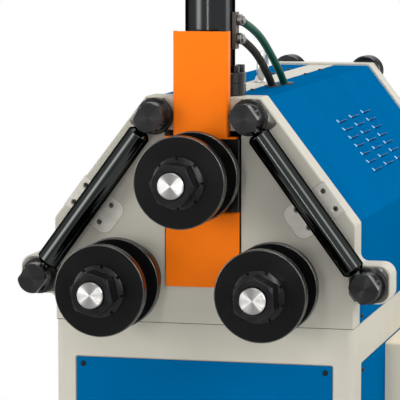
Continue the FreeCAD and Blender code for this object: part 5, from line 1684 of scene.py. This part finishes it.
@dataclass
class TieNuts(Assembly):
    """Domed round nuts on the rear plate and hexagon nuts behind the ears."""

    dome_place: Pair = (86.0, 389.0)
    face: float = 1146.0
    bore: float = 12.1
    dome: tuple[Pair, ...] = (
        (26.5, 0.0), (26.5, 12.1), (0.0, 12.1), (0.0, 31.0), (3.0, 34.0), (42.0, 34.0),
        (48.0, 29.0), (52.0, 19.0), (52.0, 0.0),
    )
    stud_face: float = 60.0
    stud_height: float = 19.0
    flats: float = 36.0
    bevel: Pair = (2.0, 2.2)

    def build(self) -> None:
        """Turn the domes, and turn the hexagons in six steps."""
        draft = Draft()
        dome = [(self.face + lift, reach) for lift, reach in self.dome]
        corner = self.flats / math.sqrt(3.0)
        low = self.stud_face
        high = low + self.stud_height
        hexagon = [
            (low, self.bore), (low, corner), (high - self.bevel[0], corner),
            (high, corner - self.bevel[1]), (high, self.bore), (low, self.bore),
        ]
        for side, _ in SIDES:
            for profile, ease, place, segments in (
                (dome, (1.2, 3), self.dome_place, 96),
                (hexagon, (0.5, 2), LOWER_POST, 6),
            ):
                spindle = Spindle((side * place[0], 0.0, place[1]))
                draft.turned(eased(profile, *ease), spindle, segments)
        nuts = draft.build("tie_rod_nuts", 30.0)
        self.fit(nuts, "frame", "black_oxide", "gloss_black", "tie_nuts")


@dataclass
class CaseScrews(Assembly):
    """Button head screws of the covers and the cabinet's panels."""

    cover_x: float = 34.0
    cover_y: tuple[float, ...] = (250.0, 750.0, 902.0)
    cover_z: float = 405.0
    panel_x: float = 223.5
    panel_z: Pair = (-79.5, -707.5)
    side_x: float = 274.0
    side_y: Pair = (93.5, 1052.5)
    side_z: Pair = (-86.5, -707.5)
    foot_screw: Point = (272.0, 92.0, 12.0)
    depth: float = 1146.0
    head: SocketHead = SocketHead(5.0, 3.0, 1.7, 0.72)

    def build(self) -> None:
        """Set one screw at each place, pointing out of its panel."""
        up = Turn.ALONG_Z.value
        forwards = ((0.0, -1.0, 0.0), (1.0, 0.0, 0.0))
        spindles = []
        for side, _ in SIDES:
            outwards = ((side, 0.0, 0.0), (0.0, 1.0, 0.0))
            spindles += [Spindle((side * self.cover_x, y, self.cover_z), *up) for y in self.cover_y]
            x, y, z = self.foot_screw
            spindles.append(Spindle((side * x, y, z), *outwards))
            for z in self.panel_z:
                spindles.append(Spindle((side * self.panel_x, 0.0, z), *forwards))
                spindles.append(Spindle((side * self.panel_x, self.depth, z)))
            for z in self.side_z:
                spindles += [Spindle((side * self.side_x, y, z), *outwards) for y in self.side_y]
        draft = Draft()
        for spindle in spindles:
            self.head.add(draft, spindle)
        screws = draft.build("case_screw_heads", 35.0)
        self.fit(screws, "frame", "black_oxide", "black_oxide", "cover_screws")


@dataclass
class Fittings(Assembly):
    """Banjo fittings on the port rail, straight ones on the valve block, and their ferrules."""

    rail: float = 50.0
    ring: float = 10.0
    ring_width: float = 9.0
    ring_bevel: float = 1.5
    head_flats: float = 14.0
    head_width: float = 4.0
    head_bevel: Pair = (1.0, 1.3)
    depth: float = 55.0
    ferrule: float = 8.6
    ferrule_length: float = 22.0
    ring_pitch: float = 5.5
    press: float = 0.9
    press_phase: float = 1.2
    press_span: float = 0.40
    boot_length: float = 12.5
    boot_radii: tuple[float, ...] = (7.4, 7.9, 7.7, 7.3)
    valve_top: float = -426.0
    nut_height: float = 9.0
    nut_flats: float = 19.0

    def boot(self, low: float, high: float) -> Array:
        """Profile of the hose's end where it is drawn over the ferrule's tail."""
        steps = zip((low, low + 0.6, high - 1.0, high), self.boot_radii)
        return np.array([(low, 0.0), *steps, (high, 0.0)])

    def sleeve(self, low: float, high: float) -> Array:
        """Profile of a crimped ferrule: rounded lips, and rings pressed in by a clipped sine.

        Args:
            low: its near end.
            high: its far end.

        Returns:
            Pairs (along, radius).
        """
        along = np.linspace(low + 1.0, high - 1.0, 60)
        share = (along - low) / (high - low)
        rings = round((high - low) / self.ring_pitch)
        wave = np.clip(np.sin(share * rings * TAU - self.press_phase), 0.0, 1.0)
        pressed = self.ferrule - self.press * wave * (np.abs(share - 0.5) < self.press_span)
        edge = self.ferrule - self.press
        return np.array([(low, 0.0), (low, edge), *zip(along, pressed), (high, edge), (high, 0.0)])

    def banjo(self, draft: Draft, height: float) -> None:
        """Add a banjo's ring and the hexagon head of its bolt.

        Args:
            draft: the mesh that takes them.
            height: height of the bolt's axis.
        """
        spindle = Spindle((0.0, self.depth, height), *Turn.ALONG_X.value)
        low = self.rail
        high = low + self.ring_width
        stop = high + self.head_width
        small = self.ring - self.ring_bevel
        ring = [(low, 0.0), (low, small), (low + self.ring_bevel, self.ring)]
        ring += [(high - self.ring_bevel, self.ring), (high, small), (high, 0.0)]
        corner = self.head_flats / math.sqrt(3.0)
        edge = [(stop - self.head_bevel[0], corner), (stop, corner - self.head_bevel[1])]
        head = [(high, 0.0), (high, corner), *edge, (stop, 0.0)]
        draft.turned(eased(ring, 0.6, 3), spindle, 64)
        draft.turned(eased(head, 0.3, 2), spindle, 6)

    def build(self) -> None:
        """Turn the rings, heads, nuts, sleeves and the hoses' ends."""
        draft = Draft()
        corner = self.nut_flats / math.sqrt(3.0)
        low = self.valve_top
        top = low + self.nut_height
        nut = [(low, 0.0), (low, corner), (top, corner), (top, 0.0)]
        for tone, (start, following, *_, end) in enumerate((GREEN_ROUTE, BLACK_ROUTE), 1):
            along = np.subtract(following, start)
            along /= np.linalg.norm(along)
            self.banjo(draft, start[2] - along[2] * (start[1] - self.depth) / along[1])
            side = np.cross(along, Turn.ALONG_X.value[0])
            side /= np.linalg.norm(side)
            route = Spindle(start, tuple(along), tuple(side))
            draft.turned(self.sleeve(-self.ferrule_length, -self.boot_length), route, 48)
            draft.turned(self.boot(-self.boot_length, 0.0), route, 48, tone)
            upright = Spindle((end[0], end[1], 0.0), *Turn.ALONG_Z.value)
            draft.turned(eased(nut, 0.8, 2), upright, 6)
            draft.turned(self.sleeve(top, top + self.ferrule_length), upright, 48)
        piece = draft.build("hose_end_fittings", 30.0)
        skins = ("green_rubber", "black_hose_skin")
        self.fit(piece, "frame", "zinc", "zinc", "hose_fittings", others=skins)


@dataclass
class Hose(Assembly):
    """Hydraulic hose along the route that its CAD solid follows."""

    name: str
    node: str
    route: tuple[Point, ...]
    length: float
    slot: str
    finish: str
    radius: float = 7.2
    rings: int = 260
    ring_steps: int = 28

    def track(self) -> Array:
        """Points of the route's smooth spline, read from a curve with no bevel.

        Returns:
            The points in metres.
        """
        curve = bpy.data.curves.new(self.name + "_line", "CURVE")
        curve.dimensions = "3D"
        curve.resolution_u = 24
        spline = curve.splines.new("NURBS")
        points = metres(np.array(self.route))
        spline.points.add(len(points) - 1)
        spline.points.foreach_set("co", np.column_stack([points, np.ones(len(points))]).ravel())
        spline.order_u = 3
        spline.use_endpoint_u = True
        holder = bpy.data.objects.new(self.name + "_line", curve)
        mesh = bpy.data.meshes.new_from_object(holder)
        found = np.empty(len(mesh.vertices) * 3)
        mesh.vertices.foreach_get("co", found)
        bpy.data.objects.remove(holder)
        bpy.data.curves.remove(curve)
        bpy.data.meshes.remove(mesh)
        return found.reshape(-1, 3)

    def even_track(self) -> Array:
        """The spline's points set at even steps of its length.

        Returns:
            The points in millimetres.
        """
        track = self.track() * PER_METRE - DATUM
        runs = np.linalg.norm(np.diff(track, axis=0), axis=1)
        track = track[np.concatenate([[True], runs > 1e-3])]
        lengths = np.linalg.norm(np.diff(track, axis=0), axis=1)
        steps = np.concatenate([[0.0], np.cumsum(lengths)])
        even = np.linspace(0.0, steps[-1], self.rings)
        return np.column_stack([np.interp(even, steps, track[:, axis]) for axis in range(3)])

    def build(self) -> None:
        """Carry a circle along the track: each ring lies across the run, its side square to X."""
        track = self.even_track()
        along = np.gradient(track, axis=0)
        along /= np.linalg.norm(along, axis=1)[:, None]
        side = np.cross(along, Turn.ALONG_X.value[0])
        side /= np.linalg.norm(side, axis=1)[:, None]
        third = np.cross(along, side)
        angle = circle(self.ring_steps)[None, :, None]
        ring = np.cos(angle) * side[:, None, :] + np.sin(angle) * third[:, None, :]
        tube = track[:, None, :] + self.radius * ring
        ends = [np.broadcast_to(track[index], tube[:1].shape) for index in (0, -1)]
        draft = Draft()
        draft.grid(np.concatenate([ends[0], tube, ends[1]]), wrap_columns=True)
        piece = draft.build(self.name)
        self.fit(piece, "frame", self.slot, self.finish, self.node)


@dataclass
class LiftingEye(Assembly):
    """Eye bolt: flared collar and a round ring."""

    y: float = 495.0
    base: float = 405.0
    height: float = 62.0
    ring: float = 24.5
    wire: float = 7.0
    collar: tuple[Pair, ...] = (
        (0.0, 0.0), (0.0, 17.5), (2.0, 17.5), (5.0, 15.5), (10.0, 13.6), (14.0, 10.4),
        (17.0, 7.6), (17.0, 0.0),
    )

    def build(self) -> None:
        """The ring is centre + (R + w cos v) round the circle + w sin v across it."""
        draft = Draft()
        corners = [(self.base + lift, reach) for lift, reach in self.collar]
        spindle = Spindle((0.0, self.y, 0.0), *Turn.ALONG_Z.value)
        draft.turned(eased(corners, 1.0, 3), spindle, 64)
        around, across = np.meshgrid(circle(72), circle(24), indexing="ij")
        reach = self.ring + self.wire * np.cos(across)
        height = self.base + self.height - self.ring - self.wire
        center = Spindle((0.0, self.y, height), *Turn.ALONG_X.value)
        loop = center.place(self.wire * np.sin(across), reach, around)
        draft.grid(loop, wrap_rows=True, wrap_columns=True)
        self.fit(draft.build("hoisting_eye", 40.0), "frame", "zinc", "bright_zinc", "lifting_eye")


@dataclass
class Louvers(Assembly):
    """Raised hoods over the slits of both covers' slopes."""

    fold: Pair = (103.03, 405.0)
    foot: Pair = (272.0, 184.64)
    rows: int = 7
    columns: int = 3
    row_pitch: float = 19.2
    column_pitch: float = 129.5
    first_row: float = 90.0
    first_middle: float = 489.0
    half: float = 42.6
    cap: float = 3.0
    width: float = 7.6
    rise: float = 2.7
    sheet: float = 0.7
    painted_shade_start: float = 0.75

    def hood(self, down: Array, out: Array) -> tuple[Array, Array]:
        """One hood's upper face, rise * (1 - (1 - climb)^2)^0.5 over the slope, with round ends.

        The front end is painted a pale blue as a painted highlight, and the lip a dark blue as
        painted shade.

        Args:
            down: unit direction down the slope.
            out: unit direction out of it.

        Returns:
            The points about the hood's middle, and the number of each point's finish.
        """
        sweep = np.linspace(0.0, QUARTER, 7)
        tip = self.half - self.cap * (1.0 - np.cos(sweep))
        reach = np.concatenate([-tip, [0.0], tip[::-1]])
        level = np.concatenate([np.sin(sweep), [1.0], np.sin(sweep[::-1])])
        climb, run = np.meshgrid(np.linspace(0.0, 1.0, 11) ** 1.6, reach, indexing="ij")
        height = self.rise * np.sqrt(1.0 - (1.0 - climb) ** 2) * level[None, :]
        across = down * ((climb - 0.5) * self.width)[..., None]
        points = across + out * (height + HAIR)[..., None]
        points = points + np.array(Turn.ALONG_Y.value[0]) * run[..., None]
        # Tone 2 is painted shade on the lip, tone 1 a painted highlight on the front end.
        marks = np.where(climb > self.painted_shade_start, 2.0, 0.0)
        marks[run < -tip[-1]] = 1.0
        return points, marks

    def build(self) -> None:
        """Set a hood, closed by a face inside the sheet, over every slit of both slopes."""
        start = np.array([self.fold[0], 0.0, self.fold[1]])
        end = np.array([self.foot[0], 0.0, self.foot[1]])
        down = (end - start) / np.linalg.norm(end - start)
        out = np.array([-down[2], 0.0, down[0]])
        points, marks = self.hood(down, out)
        # The face inside the sheet takes painted shade too.
        marks = np.concatenate([marks, np.full_like(marks, 2.0)])
        for side, name in SIDES:
            draft = Draft()
            for column in range(self.columns):
                for row in range(self.rows):
                    middle = start + down * (self.first_row + row * self.row_pitch)
                    middle[1] = self.first_middle + column * self.column_pitch
                    top = points + middle
                    shell = np.concatenate([top, (top - out * self.sheet)[::-1]])
                    draft.grid(shell * np.array([side, 1.0, 1.0]), wrap_rows=True, tone=marks)
            piece = draft.build(f"{name}_louver_hoods", 50.0)
            # Front ends in a painted highlight, lips in painted shade.
            edges = ("hood_painted_highlight", "hood_painted_shade")
            self.fit(piece, "frame", "blue_paint", "blue_paint", others=edges)


@dataclass(frozen=True)
class Lamp:
    """A rectangular lamp with faded edges: place, aim and size in metres.

    Its power is its radiance times pi times its area, and soft is the part of its half size over
    which its light fades to nothing.
    """

    name: str
    place: Point
    aim: Point
    size: Pair
    radiance: float
    soft: float
    colour: Colour = (1.0, 0.985, 0.955)

    def build(self) -> None:
        """Hang the lamp, unseen by the camera."""
        data = bpy.data.lights.new(self.name, "AREA")
        data.color = self.colour
        data.shape = "RECTANGLE"
        data.size, data.size_y = self.size
        data.energy = self.radiance * math.pi * self.size[0] * self.size[1]
        data.use_nodes = True
        graph = Graph(data.node_tree)
        spot = graph.node("SeparateXYZ")
        graph.join(graph.node("NewGeometry").outputs["Parametric"], spot, 0)
        fades = []
        for index in (0, 1):
            middle = graph.math("ABSOLUTE", graph.math("SUBTRACT", spot.outputs[index], 0.5))
            fades.append(graph.ramp(middle, 0.5, 0.5 - 0.5 * self.soft))
        smooth = graph.node("MapRange", interpolation_type="SMOOTHSTEP", clamp=True)
        graph.join(graph.math("MULTIPLY", *fades), smooth, "Value")
        graph.join(smooth.outputs["Result"], data.node_tree.nodes["Emission"], "Strength")
        made = bpy.data.objects.new(self.name, data)
        made.location = self.place
        sight = Vector(self.aim) - Vector(self.place)
        made.rotation_euler = sight.to_track_quat("-Z", "Y").to_euler()
        made.visible_camera = False
        bpy.context.scene.collection.objects.link(made)


@dataclass
class Studio:
    """Pale floor, soft lamps, white surroundings and the camera at the photograph's angle."""

    azimuth: float = 13.71
    elevation: float = 6.16
    distance: float = 4.764
    focal_pixels: float = 2669.0
    frame_pixels: float = 400.0
    sensor: float = 36.0
    far: float = 60.0
    target: Point = (-5.4757, 0.0, 224.24)
    calm_light: float = 0.48
    floor_tone: float = 0.86
    floor_rough: float = 0.75
    floor_drop: float = -0.0005
    floor_rings: tuple[float, ...] = (0.0, 1.0, 2.0, 4.0, 9.0)
    floor_fade: Pair = (1.1, 2.2)
    lamps: tuple[Lamp, ...] = (
        Lamp("key", (-2.1, -2.95, 1.45), (0.0, -0.4, 1.1), (2.0, 2.7), 9.0, 0.9),
        Lamp("slim", (0.12, -3.9, 1.6), (0.0, -0.3, 1.1), (0.2, 1.9), 20.0, 0.35),
        Lamp("fill", (2.45, -2.3, 2.5), (0.2, 0.0, 1.1), (1.2, 1.7), 6.0, 0.3),
        Lamp("side", (3.3, 0.2, 1.9), (0.2, -0.2, 1.0), (1.8, 2.2), 4.2, 0.4),
        Lamp("top", (0.6, 0.4, 4.2), (0.1, 0.0, 1.2), (2.8, 2.8), 4.4, 0.4),
    )

    def camera(self) -> None:
        """Place the camera on the line of sight through the photograph's middle."""
        a = math.radians(self.azimuth)
        e = math.radians(self.elevation)
        sight = Vector((-math.sin(a) * math.cos(e), math.cos(a) * math.cos(e), -math.sin(e)))
        data = bpy.data.cameras.new("camera")
        data.sensor_width = self.sensor
        data.lens = self.sensor * self.focal_pixels / self.frame_pixels
        data.clip_end = self.far
        made = bpy.data.objects.new("camera", data)
        made.location = Vector(metres(np.array(self.target))) - sight * self.distance
        made.rotation_euler = sight.to_track_quat("-Z", "Y").to_euler()
        bpy.context.scene.collection.objects.link(made)
        bpy.context.scene.camera = made

    def floor(self) -> None:
        """Round pale floor that turns to plain white towards its rim, so no horizon shows."""
        angle, reach = np.meshgrid(circle(96), np.array(self.floor_rings), indexing="xy")
        level = np.full_like(reach, self.floor_drop)
        spread = np.stack([reach * np.cos(angle), reach * np.sin(angle), level], axis=-1)
        draft = Draft()
        draft.grid(spread * PER_METRE - DATUM, wrap_columns=True)
        floor = draft.build("floor")
        material = bpy.data.materials.new("pale_floor")
        material.use_nodes = True
        graph = Graph(material.node_tree)
        shader = material.node_tree.nodes["Principled BSDF"]
        shader.inputs["Base Color"].default_value = (*(self.floor_tone,) * 3, 1.0)
        shader.inputs["Roughness"].default_value = self.floor_rough
        distance = graph.node("VectorMath", operation="LENGTH")
        graph.join(graph.node("TexCoord").outputs["Object"], distance, 0)
        fade = graph.ramp(distance.outputs["Value"], *self.floor_fade)
        seen = graph.math("MULTIPLY", fade, graph.node("LightPath").outputs["Is Camera Ray"])
        glow = graph.node("Emission")
        blend = graph.node("MixShader")
        for index, source in enumerate((seen, shader.outputs[0], glow.outputs[0])):
            graph.join(source, blend, index)
        graph.join(blend.outputs[0], material.node_tree.nodes["Material Output"], "Surface")
        floor.data.materials.append(material)

    def world(self) -> None:
        """White to the camera and in reflections, a calm grey light to everything else."""
        world = bpy.data.worlds.new("surroundings")
        world.use_nodes = True
        graph = Graph(world.node_tree)
        back = world.node_tree.nodes["Background"]
        rays = graph.node("LightPath").outputs
        seen = graph.math("MAXIMUM", rays["Is Camera Ray"], rays["Is Transmission Ray"])
        shown = graph.math("MAXIMUM", seen, rays["Is Glossy Ray"])
        strength = graph.math("MULTIPLY_ADD", shown, 1.0 - self.calm_light, self.calm_light)
        graph.join(strength, back, "Strength")
        back.inputs["Color"].default_value = (1.0, 1.0, 1.0, 1.0)
        bpy.context.scene.world = world

    def build(self) -> None:
        """Set up the whole studio."""
        self.camera()
        self.floor()
        self.world()
        for lamp in self.lamps:
            lamp.build()
        bpy.context.scene.view_settings.view_transform = "Standard"


def dress_nodes(frame: dict, palette: Palette) -> None:
    """Give each carried-over CAD node the finish of its record slot.

    The hose finish needs the drawn hose's own map, so the CAD hose wears plain rubber.

    Args:
        palette: the finishes.
    """
    slots = {entry["node"]: entry["material_slot"] for entry in frame["record"]["subparts"]}
    slots["front_plate"] = "plate_cream"
    plain = {"green_rubber": "black_rubber"}
    for name, node in frame["nodes"].items():
        finish = slots[name]
        node.data.materials.clear()
        node.data.materials.append(palette[plain.get(finish, finish)])
    log.info("dressed %d nodes", len(frame["nodes"]))


def roll_sets(palette: Palette) -> list[RollSet]:
    """The three rolls at their stations.

    Args:
        palette: the finishes.

    Returns:
        The rolls.
    """
    lower = [(1081.0, 32.0), (1081.0, 27.0), (1131.0, 27.0), (1131.0, 0.0)]
    upper = [(168.0, 32.0), (168.0, 27.0), (192.0, 27.0), (192.0, 0.0)]
    return [
        RollSet(palette, "left", "left_roll", -143.0, 80.0, 13.0, lower),
        RollSet(palette, "right", "right_roll", 143.0, 80.0, 4.0, lower),
        RollSet(palette, "top", "top_roll", 0.0, 272.0, 24.0, upper),
    ]


def hoses(palette: Palette) -> list[Hose]:
    """The pressure hose and the return hose.

    Args:
        palette: the finishes.

    Returns:
        The hoses.
    """
    green = ("green_pressure_hose", "green_hose", GREEN_ROUTE, 1.202)
    black = ("black_return_hose", "black_hose", BLACK_ROUTE, 1.127)
    return [
        Hose(palette, *green, "green_rubber", "green_rubber"),
        Hose(palette, *black, "black_rubber", "black_hose_skin"),
    ]


def main() -> None:
    """Build the looks in order and report each piece."""
    logging.basicConfig(level=logging.INFO, format="%(name)s: %(message)s")
    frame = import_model()
    Studio().build()
    palette = Palette(Effects())
    dress_nodes(frame, palette)
    front = (Cylinder, GuideBars, GuidePosts, TieNuts, CaseScrews, Fittings)
    assemblies = [
        *roll_sets(palette),
        *(kind(palette) for kind in front),
        *hoses(palette),
        LiftingEye(palette),
        Louvers(palette),
    ]
    for assembly in assemblies:
        assembly.build()


if __name__ == "__main__":
    main()
